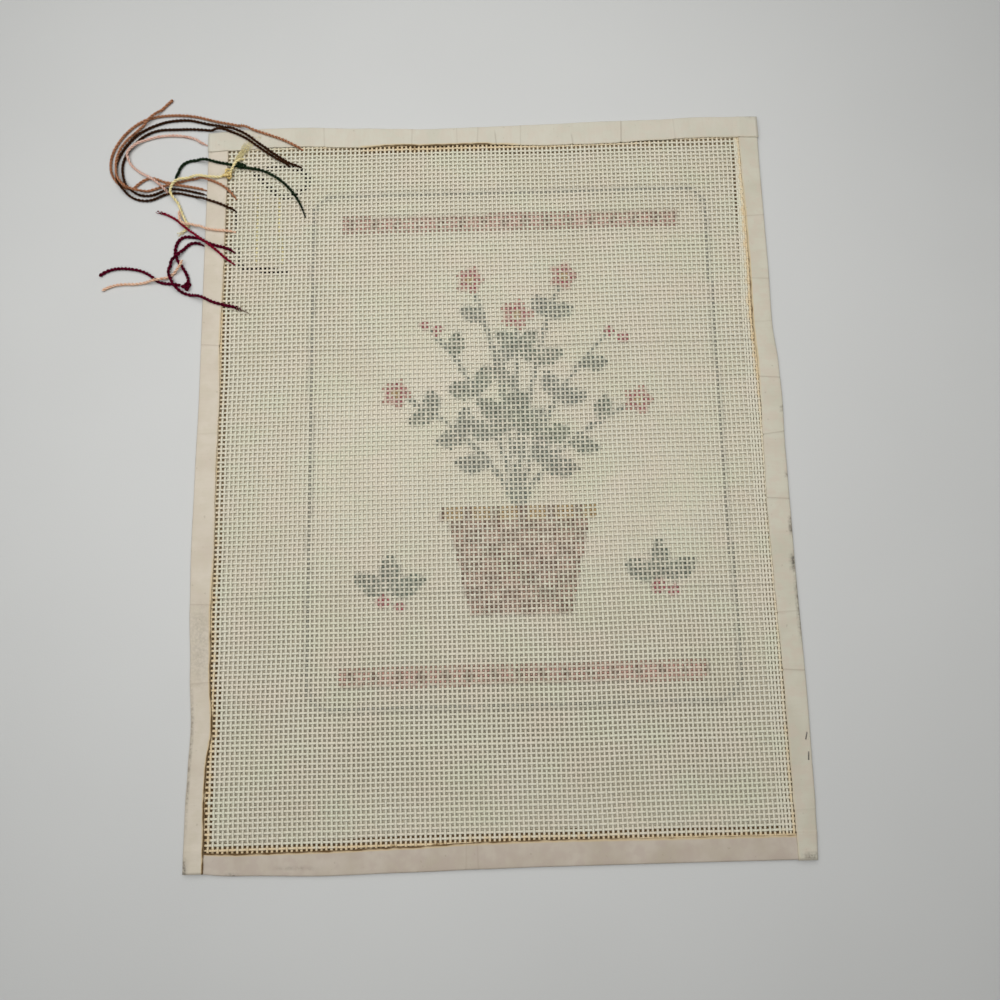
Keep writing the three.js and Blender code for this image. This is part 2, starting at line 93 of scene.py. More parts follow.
YARN_ROUTES: dict[str, tuple[Point, ...]] = {
    "yarn_rust_loop": (
        (-0.0896, 0.1629), (-0.0927, 0.1643), (-0.0980, 0.1673), (-0.1042, 0.1700),
        (-0.1134, 0.1736), (-0.1211, 0.1772), (-0.1334, 0.1802), (-0.1438, 0.1831),
        (-0.1530, 0.1842), (-0.1630, 0.1837), (-0.1706, 0.1813), (-0.1765, 0.1770),
        (-0.1820, 0.1700), (-0.1853, 0.1610), (-0.1844, 0.1525), (-0.1796, 0.1464),
        (-0.1739, 0.1447), (-0.1712, 0.1469), (-0.1680, 0.1492), (-0.1647, 0.1501),
        (-0.1613, 0.1492), (-0.1584, 0.1479), (-0.1546, 0.1473), (-0.1508, 0.1476),
        (-0.1460, 0.1488), (-0.1400, 0.1490), (-0.1341, 0.1469), (-0.1298, 0.1448),
        (-0.1260, 0.1419), (-0.1219, 0.1372),
    ),
    "yarn_brown_loop": (
        (-0.0896, 0.1530), (-0.0958, 0.1553), (-0.1021, 0.1595), (-0.1074, 0.1635),
        (-0.1121, 0.1670), (-0.1159, 0.1702), (-0.1198, 0.1728), (-0.1257, 0.1756),
        (-0.1310, 0.1776), (-0.1379, 0.1790), (-0.1475, 0.1813), (-0.1567, 0.1810),
        (-0.1628, 0.1794), (-0.1703, 0.1758), (-0.1752, 0.1716), (-0.1802, 0.1645),
        (-0.1826, 0.1565), (-0.1809, 0.1486), (-0.1771, 0.1428), (-0.1747, 0.1406),
        (-0.1713, 0.1388), (-0.1665, 0.1381), (-0.1628, 0.1388), (-0.1595, 0.1403),
        (-0.1560, 0.1416), (-0.1507, 0.1416), (-0.1468, 0.1407), (-0.1421, 0.1394),
        (-0.1361, 0.1369), (-0.1304, 0.1348), (-0.1257, 0.1326), (-0.1219, 0.1310),
    ),
    "yarn_brown_tuck": (
        (-0.0957, 0.1537), (-0.1025, 0.1581), (-0.1086, 0.1624), (-0.1133, 0.1659),
        (-0.1174, 0.1691), (-0.1215, 0.1715), (-0.1272, 0.1738), (-0.1320, 0.1751),
        (-0.1378, 0.1756), (-0.1450, 0.1763), (-0.1512, 0.1764), (-0.1627, 0.1760),
        (-0.1687, 0.1736), (-0.1730, 0.1700), (-0.1772, 0.1646), (-0.1794, 0.1574),
        (-0.1786, 0.1504), (-0.1756, 0.1448), (-0.1714, 0.1417), (-0.1671, 0.1407),
        (-0.1633, 0.1411), (-0.1601, 0.1424), (-0.1568, 0.1439), (-0.1530, 0.1440),
        (-0.1469, 0.1430), (-0.1421, 0.1418), (-0.1373, 0.1405),
    ),
    "yarn_rust_tuck": (
        (-0.1561, 0.1929), (-0.1594, 0.1896), (-0.1638, 0.1850), (-0.1683, 0.1807),
        (-0.1726, 0.1766), (-0.1768, 0.1718), (-0.1806, 0.1652), (-0.1822, 0.1572),
        (-0.1804, 0.1496), (-0.1764, 0.1450), (-0.1728, 0.1432), (-0.1685, 0.1428),
        (-0.1643, 0.1437), (-0.1602, 0.1450), (-0.1564, 0.1460), (-0.1520, 0.1460),
        (-0.1480, 0.1454), (-0.1430, 0.1444), (-0.1373, 0.1430),
    ),
    "yarn_green": (
        (-0.1520, 0.1478), (-0.1517, 0.1511), (-0.1510, 0.1544), (-0.1488, 0.1575),
        (-0.1451, 0.1590), (-0.1390, 0.1588), (-0.1310, 0.1566), (-0.1250, 0.1553),
        (-0.1204, 0.1543), (-0.1166, 0.1533), (-0.1121, 0.1526), (-0.1075, 0.1510),
        (-0.1014, 0.1472), (-0.0968, 0.1429), (-0.0929, 0.1379), (-0.0899, 0.1322),
        (-0.0879, 0.1265),
    ),
    "yarn_pink": (
        (-0.1553, 0.1411), (-0.1588, 0.1448), (-0.1622, 0.1479), (-0.1644, 0.1494),
        (-0.1691, 0.1524), (-0.1739, 0.1562), (-0.1765, 0.1601), (-0.1769, 0.1638),
        (-0.1744, 0.1672), (-0.1700, 0.1704), (-0.1625, 0.1726), (-0.1564, 0.1731),
        (-0.1495, 0.1725), (-0.1440, 0.1709), (-0.1409, 0.1689), (-0.1378, 0.1674),
    ),
    "yarn_yellow": (
        (-0.1185, 0.1593), (-0.1222, 0.1557), (-0.1244, 0.1520), (-0.1274, 0.1496),
        (-0.1312, 0.1486), (-0.1359, 0.1484), (-0.1414, 0.1494), (-0.1471, 0.1488),
        (-0.1508, 0.1475), (-0.1534, 0.1454), (-0.1543, 0.1424), (-0.1533, 0.1393),
        (-0.1513, 0.1366), (-0.1498, 0.1335), (-0.1487, 0.1305), (-0.1472, 0.1274),
        (-0.1461, 0.1248), (-0.1465, 0.1223), (-0.1483, 0.1206), (-0.1506, 0.1196),
    ),
    "yarn_maroon_short": (
        (-0.1219, 0.1092), (-0.1259, 0.1111), (-0.1306, 0.1124), (-0.1353, 0.1143),
        (-0.1402, 0.1173), (-0.1440, 0.1182), (-0.1472, 0.1182), (-0.1495, 0.1167),
        (-0.1510, 0.1134), (-0.1511, 0.1094), (-0.1498, 0.1059), (-0.1475, 0.1026),
        (-0.1455, 0.0993), (-0.1443, 0.0958), (-0.1448, 0.0930),
    ),
    "yarn_maroon_tail": (
        (-0.1876, 0.0992), (-0.1840, 0.1014), (-0.1796, 0.1026), (-0.1751, 0.1026),
        (-0.1707, 0.1020), (-0.1669, 0.1009), (-0.1636, 0.0992), (-0.1612, 0.0973),
        (-0.1588, 0.0954), (-0.1555, 0.0944), (-0.1518, 0.0940), (-0.1482, 0.0934),
    ),
    "yarn_peach_tail": (
        (-0.1858, 0.0916), (-0.1824, 0.0932), (-0.1788, 0.0942), (-0.1747, 0.0945),
        (-0.1703, 0.0944), (-0.1657, 0.0949), (-0.1615, 0.0956), (-0.1579, 0.0962),
        (-0.1547, 0.0971), (-0.1522, 0.0988), (-0.1498, 0.1009), (-0.1480, 0.1033),
        (-0.1474, 0.1058),
    ),
    "yarn_maroon_tuck": (
        (-0.1176, 0.0792), (-0.1213, 0.0809), (-0.1259, 0.0819), (-0.1314, 0.0836),
        (-0.1371, 0.0864), (-0.1427, 0.0880), (-0.1472, 0.0897), (-0.1503, 0.0926),
        (-0.1523, 0.0960), (-0.1534, 0.0993), (-0.1535, 0.1027), (-0.1525, 0.1057),
        (-0.1501, 0.1081), (-0.1479, 0.1108), (-0.1456, 0.1134), (-0.1434, 0.1148),
        (-0.1406, 0.1149), (-0.1372, 0.1134),
    ),
    "yarn_crimson": (
        (-0.1615, 0.1320), (-0.1591, 0.1314), (-0.1548, 0.1296), (-0.1509, 0.1270),
        (-0.1475, 0.1237), (-0.1450, 0.1216), (-0.1412, 0.1185), (-0.1383, 0.1160),
        (-0.1338, 0.1125), (-0.1305, 0.1100), (-0.1257, 0.1056), (-0.1217, 0.1028),
    ),
    "yarn_peach": (
        (-0.1498, 0.1315), (-0.1495, 0.1284), (-0.1484, 0.1258), (-0.1463, 0.1243),
        (-0.1433, 0.1242), (-0.1405, 0.1236), (-0.1360, 0.1216), (-0.1318, 0.1207),
        (-0.1271, 0.1202), (-0.1218, 0.1199),
    ),
}

EDGE_ROWS: dict[Side, tuple[EdgeRow, ...]] = {
    Side.LEFT: rows_of(
        EdgeRow,
        (-0.176, 0.0020, 0.0110), (-0.160, 0.0019, 0.0108), (-0.146, 0.0019, 0.0103),
        (-0.132, 0.0024, 0.0106), (-0.114, 0.0030, 0.0126), (-0.088, 0.0017, 0.0110),
        (-0.062, 0.0005, 0.0103), (-0.036, 0.0000, 0.0107), (0.000, 0.0003, 0.0102),
        (0.036, 0.0008, 0.0107), (0.064, 0.0007, 0.0100), (0.100, 0.0006, 0.0104),
        (0.176, 0.0007, 0.0107),
    ),
    Side.RIGHT: rows_of(
        EdgeRow,
        (-0.176, 0.0027, 0.0113), (-0.160, 0.0020, 0.0112), (-0.148, 0.0015, 0.0112),
        (-0.100, 0.0009, 0.0110), (-0.050, 0.0011, 0.0114), (-0.024, 0.0009, 0.0117),
        (0.004, 0.0007, 0.0110), (0.030, 0.0000, 0.0104), (0.046, 0.0003, 0.0105),
        (0.066, 0.0016, 0.0111), (0.100, 0.0010, 0.0104), (0.140, 0.0009, 0.0102),
        (0.176, 0.0005, 0.0103),
    ),
    Side.TOP: rows_of(
        EdgeRow,
        (-0.138, 0.0023, 0.0128), (-0.123, 0.0010, 0.0122), (-0.109, 0.0003, 0.0112),
        (-0.092, 0.0002, 0.0110), (-0.060, 0.0015, 0.0123), (-0.042, 0.0022, 0.0117),
        (-0.030, 0.0028, 0.0122), (0.000, 0.0024, 0.0121), (0.008, 0.0022, 0.0128),
        (0.030, 0.0018, 0.0136), (0.060, 0.0010, 0.0134), (0.086, 0.0008, 0.0123),
        (0.108, 0.0000, 0.0115), (0.123, 0.0003, 0.0117), (0.138, 0.0006, 0.0124),
    ),
    Side.BOTTOM: rows_of(
        EdgeRow,
        (-0.138, 0.0023, 0.0110), (-0.112, 0.0009, 0.0100), (-0.075, 0.0000, 0.0103),
        (-0.040, 0.0005, 0.0110), (-0.008, 0.0010, 0.0121), (0.020, 0.0013, 0.0123),
        (0.080, 0.0014, 0.0118), (0.138, 0.0014, 0.0116),
    ),
}


def srgb(red: int, green: int, blue: int) -> tuple[float, float, float, float]:
    """Turns a colour of 0 to 255 a channel into linear light with full alpha.

    Args:
        red, green, blue: the channels as a paint chart gives them.

    Returns:
        Four numbers for a shader socket.
    """
    channels = []
    for value in (red, green, blue):
        share = value / 255
        channels.append(share / 12.92 if share <= 0.04045 else ((share + 0.055) / 1.055) ** 2.4)
    return (*channels, 1.0)


def smoothstep(value: Array, low: float, high: float) -> Array:
    """Eases from 0 at low to 1 at high."""
    share = np.clip((np.asarray(value, float) - low) / (high - low), 0, 1)
    return share * share * (3 - 2 * share)


def row_value(rows: tuple, column: str, at: Array) -> Array:
    """Reads a column of a table at any place, on a smooth curve through its rows.

    Args:
        rows: dataclass rows, each with an at.
        column: the name of the column.
        at: the places to read.

    Returns:
        The column's value at each place.
    """
    places = np.array([row.at for row in rows])
    values = np.array([getattr(row, column) for row in rows])
    limited = np.clip(at, places[0], places[-1])
    index = np.clip(np.searchsorted(places, limited, side="right") - 1, 0, len(rows) - 2)
    eased = smoothstep((limited - places[index]) / (places[index + 1] - places[index]), 0, 1)
    return values[index] + eased * (values[index + 1] - values[index])


def bell(away: Array, width: float) -> Array:
    """One at a place, and about a third a width away from it on both sides."""
    return np.exp(-((away / width) ** 2))


def wobble(at: Array, length: float, seed: int) -> Array:
    """A smooth uneven line between -1 and 1, for edges and faces that no hand makes straight.

    Args:
        at: the places along the line.
        length: about how long one swing is.
        seed: picks the line.

    Returns:
        The line's value at each place.
    """
    rng = np.random.default_rng(seed)
    total = np.zeros_like(np.asarray(at, float))
    for share in (1.0, 0.62, 0.41, 0.27):
        phase, stretch = rng.uniform(0, 2 * math.pi), rng.uniform(0.85, 1.15)
        total = total + share * np.sin(2 * math.pi * at / (length * share * stretch) + phase)
    return total / 1.7


@dataclass
class PanelForm:
    """The driving sizes of the panel, and the surfaces that its pieces lie on."""

    width: float = 0.275
    length: float = 0.351
    mesh_at_edge: float = 1.0 * MM
    sag: float = 0.15 * MM
    sag_starts: float = 18 * MM
    sag_ends: float = 60 * MM
    waves: tuple[tuple[float, float, float, float], ...] = (
        (0.12 * MM, 0.150, -0.420, 0.4),
        (0.08 * MM, -0.260, 0.130, 2.1),
    )
    bulge: float = 0.8 * MM
    bulge_span: Point = (0.01, 0.11)
    tape_top: float = 1.84 * MM

    def edge(self, side: Side, column: str, along: Array) -> Array:
        """How far in from the nominal edge the fold (outer) or the leg's edge (inner) lies."""
        return row_value(EDGE_ROWS[side], column, along)

    def half(self, side: Side) -> float:
        """Half the panel's size across a side."""
        return (self.width if side.upright else self.length) / 2

    def place(self, side: Side, along: Array, inward: Array) -> tuple:
        """The x and y of a point that lies along a side and so far in from its nominal edge."""
        across = side.sign * (self.half(side) - inward)
        return (across, along) if side.upright else (along, across)

    def from_tape(self, side: Side, x: Array, y: Array, column: str) -> Array:
        """How far a point lies in from the inner edge or the fold of one side's tape."""
        across, along = (x, y) if side.upright else (y, x)
        return self.half(side) - side.sign * across - self.edge(side, column, along)

    def mesh_height(self, x: Array, y: Array) -> Array:
        """The height of the middle of the mesh, which sinks inside its bound edge.

        Args:
            x, y: the places, in metres from the panel's middle.

        Returns:
            Heights above the table, in metres.
        """
        edge_distance = np.minimum(self.width / 2 - np.abs(x), self.length / 2 - np.abs(y))
        inside = smoothstep(edge_distance, self.sag_starts, self.sag_ends)
        height = self.mesh_at_edge - self.sag * inside
        for rise, across_x, across_y, phase in self.waves:
            turn = 2 * math.pi * (x / across_x + y / across_y) + phase
            height = height + rise * inside * np.sin(turn)
        return height + self.bulge * inside * smoothstep(-y, *self.bulge_span)


class MeshDraft:
    """Collects points, faces and values, and makes one mesh object of them."""

    def __init__(self, name: str) -> None:
        """Starts an empty draft.

        Args:
            name: the name of the piece.
        """
        self.name = name
        self.points: list[Array] = []
        self.faces: list[Array] = []
        self.fibre: list[Array] = []
        self.values: dict[str, list[Array]] = {}
        self.count = 0

    def add(self, points: Array, faces: list, fibre: list, **values: Array) -> None:
        """Adds a closed form.

        Args:
            points: the corners, one row each.
            faces: arrays of corner numbers, one array for each number of sides.
            fibre: for each array of faces, its corners' places along and round the thread.
            values: numbers or colours for each corner, to be read by the finish.
        """
        points = points.reshape(-1, 3)
        self.points.append(points)
        for group, laid in zip(faces, fibre):
            self.faces.append(group + self.count)
            self.fibre.append(laid.reshape(-1, 2))
        for key, value in values.items():
            self.values.setdefault(key, []).append(np.asarray(value, np.float32))
        self.count += len(points)

    def build(self, finish: Material, slot: str, node: str = "") -> Piece:
        """Makes the object, smooth all over, sets it under the root, and hides the node that it replaces.

        Args:
            finish: its material.
            slot: not used.
            node: the node that it replaces, if any.

        Returns:
            The new object, with its place in its mesh.
        """
        mesh = bpy.data.meshes.new(self.name)
        points = np.concatenate(self.points).astype(np.float32)
        corners = np.concatenate([group.ravel() for group in self.faces]).astype(np.int32)
        sizes = np.concatenate([np.full(len(group), group.shape[1]) for group in self.faces])
        starts = np.concatenate([[0], np.cumsum(sizes)[:-1]]).astype(np.int32)
        mesh.vertices.add(len(points))
        mesh.vertices.foreach_set("co", points.ravel())
        mesh.loops.add(len(corners))
        mesh.loops.foreach_set("vertex_index", corners)
        mesh.polygons.add(len(sizes))
        mesh.polygons.foreach_set("loop_start", starts)
        mesh.update(calc_edges=True)
        mesh.polygons.foreach_set("use_smooth", np.ones(len(sizes), bool))
        layer = mesh.uv_layers.new(name="fibre")
        layer.data.foreach_set("uv", np.concatenate(self.fibre).astype(np.float32).ravel())
        for key, parts in self.values.items():
            value = np.concatenate(parts)
            coloured = value.ndim == 2
            attribute = mesh.attributes.new(key, "FLOAT_COLOR" if coloured else "FLOAT", "POINT")
            attribute.data.foreach_set("color" if coloured else "value", value.ravel())
        mesh.materials.append(finish)
        piece = bpy.data.objects.new(self.name, mesh)
        bpy.context.scene.collection.objects.link(piece)
        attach(piece, "root")
        if node:
            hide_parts(node)
        return piece


def tube_faces(tubes: int, rings: int, sides: int, ring_step: float) -> tuple[list, list]:
    """The faces of like tubes whose corners are stored tube by tube, ring by ring.

    Args:
        tubes: how many tubes there are.
        rings: how many rings each has.
        sides: how many corners a ring has.
        ring_step: the length between rings, for the fibre's direction.

    Returns:
        The side faces and the two lids of each tube, and their places along and round it.
    """
    tube = np.arange(tubes)[:, None, None] * rings * sides
    ring = np.arange(rings - 1)[None, :, None]
    side = np.arange(sides)[None, None, :]
    here = tube + ring * sides + side
    beside = tube + ring * sides + (side + 1) % sides
    walls = np.stack([here, beside, beside + sides, here + sides], -1).reshape(-1, 4)
    along = np.broadcast_to(ring * ring_step, here.shape)
    round_it = np.broadcast_to(side / sides, here.shape)
    corners = ((0, 0), (0, 1 / sides), (ring_step, 1 / sides), (ring_step, 0))
    laid = np.stack([np.stack([along + on, round_it + turn], -1) for on, turn in corners], -2)
    first = (tube[:, 0] + np.arange(sides)[None, ::-1]).reshape(tubes, sides)
    last = (tube[:, 0] + (rings - 1) * sides + np.arange(sides)[None, :]).reshape(tubes, sides)
    lids = np.concatenate([first, last])
    return [walls, lids], [laid.reshape(-1, 2), np.zeros((lids.size, 2))]


def unit(vectors: Array) -> Array:
    """Each row's direction, one long."""
    return vectors / np.linalg.norm(vectors, axis=1)[:, None]


def rings_round(first: Array, second: Array, sides: int) -> Array:
    """A ring of corners for each point, one away from it, between two directions across."""
    turn = np.linspace(0, 2 * math.pi, sides, endpoint=False)[None, :, None]
    return first[:, None] * np.cos(turn) + second[:, None] * np.sin(turn)


def smooth_line(points: Array, step: float) -> Array:
    """A centripetal Catmull-Rom curve through points, as evenly spaced points on it.

    Args:
        points: the points that the line passes through.
        step: about how far apart its points are to be.

    Returns:
        The line's points.
    """
    points = np.asarray(points, float)
    padded = np.vstack([2 * points[0] - points[1], points, 2 * points[-1] - points[-2]])
    share = np.linspace(0, 1, 24, endpoint=False)[:, None]
    spans = []
    for index in range(1, len(padded) - 2):
        before, start, end, after = padded[index - 1 : index + 3]
        first, middle, last = (
            max(np.linalg.norm(gap) ** 0.5, 1e-6) for gap in (start - before, end - start, after - end)
        )
        leave = (start - before) / first - (end - before) / (first + middle)
        leave = (leave + (end - start) / middle) * middle
        reach = (end - start) / middle - (after - start) / (middle + last)
        reach = (reach + (after - end) / last) * middle
        curve = (-3 * start + 3 * end - 2 * leave - reach) * share**2
        spans.append(start + leave * share + curve + (2 * start - 2 * end + leave + reach) * share**3)
    return evenly(np.vstack([*spans, points[-1]]), step)


def evenly(line: Array, step: float) -> Array:
    """The same line with its points about one step apart.

    Args:
        line: the points, one row each.
        step: the distance wanted between two points.

    Returns:
        The new points, the first and last where they were.
    """
    along = np.concatenate([[0], np.cumsum(np.linalg.norm(np.diff(line, axis=0), axis=1))])
    count = max(2, int(round(along[-1] / step)) + 1)
    places = np.linspace(0, along[-1], count)
    return np.stack([np.interp(places, along, line[:, axis]) for axis in range(3)], 1)


class NodeBench:
    """A small bench on which a finish lays out its shader's nodes."""

    def __init__(self, name: str, roughness: float) -> None:
        """Makes a material with a Principled shader.

        Args:
            name: the material's name.
            roughness: the shader's own roughness.
        """
        self.material = bpy.data.materials.new(name)
        self.material.use_nodes = True
        self.tree = self.material.node_tree
        self.shader = self.tree.nodes["Principled BSDF"]
        self.shader.inputs["Roughness"].default_value = roughness
        self.object_place = self.node("ShaderNodeTexCoord").outputs["Object"]
        self.fibre_place = self.node("ShaderNodeUVMap", uv_map="fibre").outputs["UV"]

    def node(self, kind: str, fed: dict | None = None, **settings: object) -> bpy.types.Node:
        """Adds a node of a kind, sets its properties and feeds its inputs, by name or number.

        Args:
            kind: the node's type name.
            fed: what each input gets, a wire or a constant.
            settings: values for the node's own properties.

        Returns:
            The new node.
        """
        made = self.tree.nodes.new(kind)
        for key, value in settings.items():
            setattr(made, key, value)
        for key, value in (fed or {}).items():
            self.feed(made.inputs[key], value)
        return made

    def feed(self, socket: Socket, value: object) -> None:
        """Gives a socket a wire from another socket, or a constant.

        Args:
            socket: the input to be fed.
            value: another node's output, or a constant.
        """
        if isinstance(value, Socket):
            self.tree.links.new(value, socket)
        else:
            socket.default_value = value

    def value(self, attribute: str) -> Socket:
        """The number that the mesh stores under a name."""
        return self.node("ShaderNodeAttribute", attribute_name=attribute).outputs["Fac"]

    def colour(self, attribute: str) -> bpy.types.Node:
        """The colour that the mesh stores under a name, as a node with Color and Alpha."""
        return self.node("ShaderNodeAttribute", attribute_name=attribute)

    def stretched(self, place: Socket, across: tuple[float, float, float]) -> Socket:
        """A place scaled by its own amount along each axis."""
        return self.node("ShaderNodeMapping", {"Vector": place, "Scale": across}).outputs["Vector"]

    def noise(self, scale: float, detail: float = 2.0, place: Socket | None = None) -> Socket:
        """Soft noise from 0 to 1, so many swings a metre of the object or of another place.

        Args:
            scale: swings a metre.
            detail: how many finer layers lie over the first.
            place: where the noise is read, or none for the object's own place.

        Returns:
            The wire that carries the noise.
        """
        place = self.object_place if place is None else place
        fed = {"Vector": place, "Scale": scale, "Detail": detail}
        return self.node("ShaderNodeTexNoise", fed).outputs["Fac"]

    def fibres(self, along: float, around: float, detail: float) -> Socket:
        """Noise with so many swings a metre along the thread and so many a turn round it."""
        return self.noise(1.0, detail, self.stretched(self.fibre_place, (along, around, 1.0)))

    def maths(self, kind: str, *values: object, clamp: bool = False) -> Socket:
        """Arithmetic on one, two or three numbers."""
        fed = dict(enumerate(values))
        return self.node("ShaderNodeMath", fed, operation=kind, use_clamp=clamp).outputs[0]

    def times(self, first: object, second: object, clamp: bool = False) -> Socket:
        """One number times another."""
        return self.maths("MULTIPLY", first, second, clamp=clamp)

    def between(self, value: object, low: float, high: float) -> Socket:
        """Eases a number from 0 at low to 1 at high."""
        fed = {"Value": value, "From Min": low, "From Max": high}
        return self.node("ShaderNodeMapRange", fed, interpolation_type="SMOOTHSTEP").outputs["Result"]

    def blend(self, share: object, first: object, second: object) -> Socket:
        """Mixes two colours by a share of the second."""
        return self.node("ShaderNodeMix", {0: share, 6: first, 7: second}, data_type="RGBA").outputs[2]

    def tinted(self, base: object, colour: object, mask: Socket, span: Point, most: float = 1.0) -> Socket:
        """Blends a colour into a base as a mask rises over a span, up to the most that shows."""
        share = self.between(mask, *span)
        return self.blend(share if most == 1.0 else self.times(share, most), base, colour)

    def bump(self, height: Socket, depth: float) -> None:
        """Wires a height of 0 to 1, so many metres deep, to the shader's normal."""
        made = self.node("ShaderNodeBump", {"Strength": 1.0, "Distance": depth, "Height": height})
        self.feed(self.shader.inputs["Normal"], made.outputs["Normal"])

    def finish(self, colour: object) -> Material:
        """Wires the base colour and returns the material."""
        self.feed(self.shader.inputs["Base Color"], colour)
        return self.material


@dataclass(frozen=True)
class Lean:
    """How far the last open warps lean to the right at one height of the panel."""

    at: float
    shift: float


@dataclass(frozen=True)
class Glue:
    """How strong the old glue shows beside a tape at one place, and how far it reaches."""

    at: float
    strength: float
    reach: float


@dataclass(frozen=True)
class Crease:
    """A pinch across a tape: its place, height, slant and tone (how dark its line is painted, as shade and
    dirt), and how far in it starts.
    """

    at: float
    height: float
    slant: float = 0.0
    dark: float = 0.5
    starts: float = 0.0


@dataclass(frozen=True)
class Soil:
    """A dirty place on a tape, along it and in from its fold, with its size and strength."""

    at: float
    inward: float
    long: float
    wide: float
    strength: float


LEANS = rows_of(
    Lean, (-0.176, -0.0028), (-0.091, -0.0024), (0.028, -0.0011), (0.162, 0.0027), (0.176, 0.0031)
)

GLUES: dict[Side, tuple[Glue, ...]] = {
    Side.LEFT: rows_of(
        Glue,
        (-0.175, 1.0, 0.0036), (-0.130, 1.0, 0.0036), (-0.100, 0.9, 0.0030), (-0.062, 0.8, 0.0032),
        (-0.018, 0.55, 0.0026), (0.026, 0.6, 0.0024), (0.068, 0.7, 0.0024), (0.122, 0.55, 0.0024),
        (0.148, 0.4, 0.0020),
    ),
    Side.TOP: rows_of(
        Glue,
        (-0.125, 0.35, 0.0020), (-0.066, 0.50, 0.0024), (-0.056, 0.85, 0.0034), (-0.035, 1.0, 0.0046),
        (-0.010, 1.0, 0.0042), (0.008, 0.85, 0.0032), (0.024, 0.6, 0.0026), (0.060, 0.5, 0.0022),
        (0.120, 0.5, 0.0022),
    ),
    Side.RIGHT: rows_of(
        Glue,
        (-0.170, 0.6, 0.0024), (-0.110, 0.5, 0.0022), (-0.060, 0.35, 0.0020), (0.000, 0.3, 0.0020),
        (0.055, 0.8, 0.0026), (0.075, 0.85, 0.0028), (0.110, 0.8, 0.0028), (0.165, 0.5, 0.0022),
    ),
    Side.BOTTOM: rows_of(
        Glue,
        (-0.125, 1.0, 0.0034), (-0.060, 0.95, 0.0030), (0.000, 0.9, 0.0028), (0.060, 0.8, 0.0026),
        (0.125, 0.8, 0.0026),
    ),
}

CREASES: dict[Side, tuple[Crease, ...]] = {
    Side.TOP: rows_of(
        Crease,
        (-0.0794, 0.00010, 0.05), (-0.0356, 0.00011, -0.04), (-0.0132, 0.00008, 0.03, 0.4),
        (-0.0029, 0.00010, -0.06), (0.0059, 0.00013, 0.08, 0.8, 0.003), (0.0185, 0.00008, -0.03, 0.4),
        (0.0437, 0.00011, 0.10, 0.7, 0.006), (0.0687, 0.00016, -0.05, 0.9), (0.0951, 0.00006, 0.04, 0.3),
    ),
    Side.LEFT: rows_of(
        Crease,
        (-0.0944, 0.00012, 0.06, 0.7), (-0.0601, 0.00012, -0.05, 0.7), (0.0188, 0.00007, 0.04, 0.3),
        (0.0619, 0.00012, -0.08, 0.7),
    ),
    Side.RIGHT: rows_of(
        Crease,
        (-0.1636, 0.00008, 0.03, 0.4), (-0.1539, 0.00007, -0.04, 0.3), (-0.0954, 0.00014, 0.06, 0.9),
        (-0.0699, 0.00011, -0.05, 0.6), (-0.0187, 0.00016, 0.07, 1.0), (0.0121, 0.00014, -0.12, 0.9),
        (0.0391, 0.00014, 0.08, 0.9), (0.0667, 0.00007, -0.04, 0.3), (0.0885, 0.00011, 0.05, 0.6),
        (0.1212, 0.00011, -0.05, 0.6),
    ),
    Side.BOTTOM: rows_of(
        Crease,
        (-0.0150, 0.00006, 0.04, 0.3), (-0.0100, 0.00006, -0.04, 0.3),
    ),
}

SOILS: dict[Side, tuple[Soil, ...]] = {
    Side.TOP: rows_of(
        Soil,
        (0.134, 0.0006, 0.0030, 0.0006, 0.5),
    ),
    Side.LEFT: rows_of(
        Soil,
        (-0.126, 0.0010, 0.0290, 0.0005, 0.55), (-0.171, 0.0012, 0.0040, 0.0012, 0.8),
        (-0.077, 0.0060, 0.0170, 0.0060, 0.22),
    ),
    Side.RIGHT: rows_of(
        Soil,
        (0.1715, 0.0008, 0.0050, 0.0009, 0.8), (0.0240, 0.0006, 0.0015, 0.0008, 0.8),
        (-0.0075, 0.0006, 0.0012, 0.0008, 0.8), (-0.0310, 0.0008, 0.0040, 0.0007, 0.9),
        (-0.0480, 0.0014, 0.0040, 0.0012, 0.9), (-0.0680, 0.0007, 0.0140, 0.0005, 0.8),
        (-0.1725, 0.0040, 0.0012, 0.0040, 0.7),
    ),
    Side.BOTTOM: rows_of(
        Soil,
        (-0.1275, 0.0060, 0.0012, 0.0060, 0.6), (-0.1140, 0.0006, 0.0022, 0.0006, 0.8),
        (-0.0860, 0.0040, 0.0090, 0.0005, 0.3),
    ),
}


@dataclass(frozen=True)
class Leaf:
    """A painted leaf: its middle, direction, length, width and tone from 0 grey to 1 green."""

    x: float
    y: float
    angle: float
    length: float = 0.017
    width: float = 0.0085
    tone: float = 0.5


@dataclass(frozen=True)
class Bloom:
    """A painted round flower or berry, with scalloped petals and an ochre heart if it is large."""

    x: float
    y: float
    radius: float
    petals: int = 5


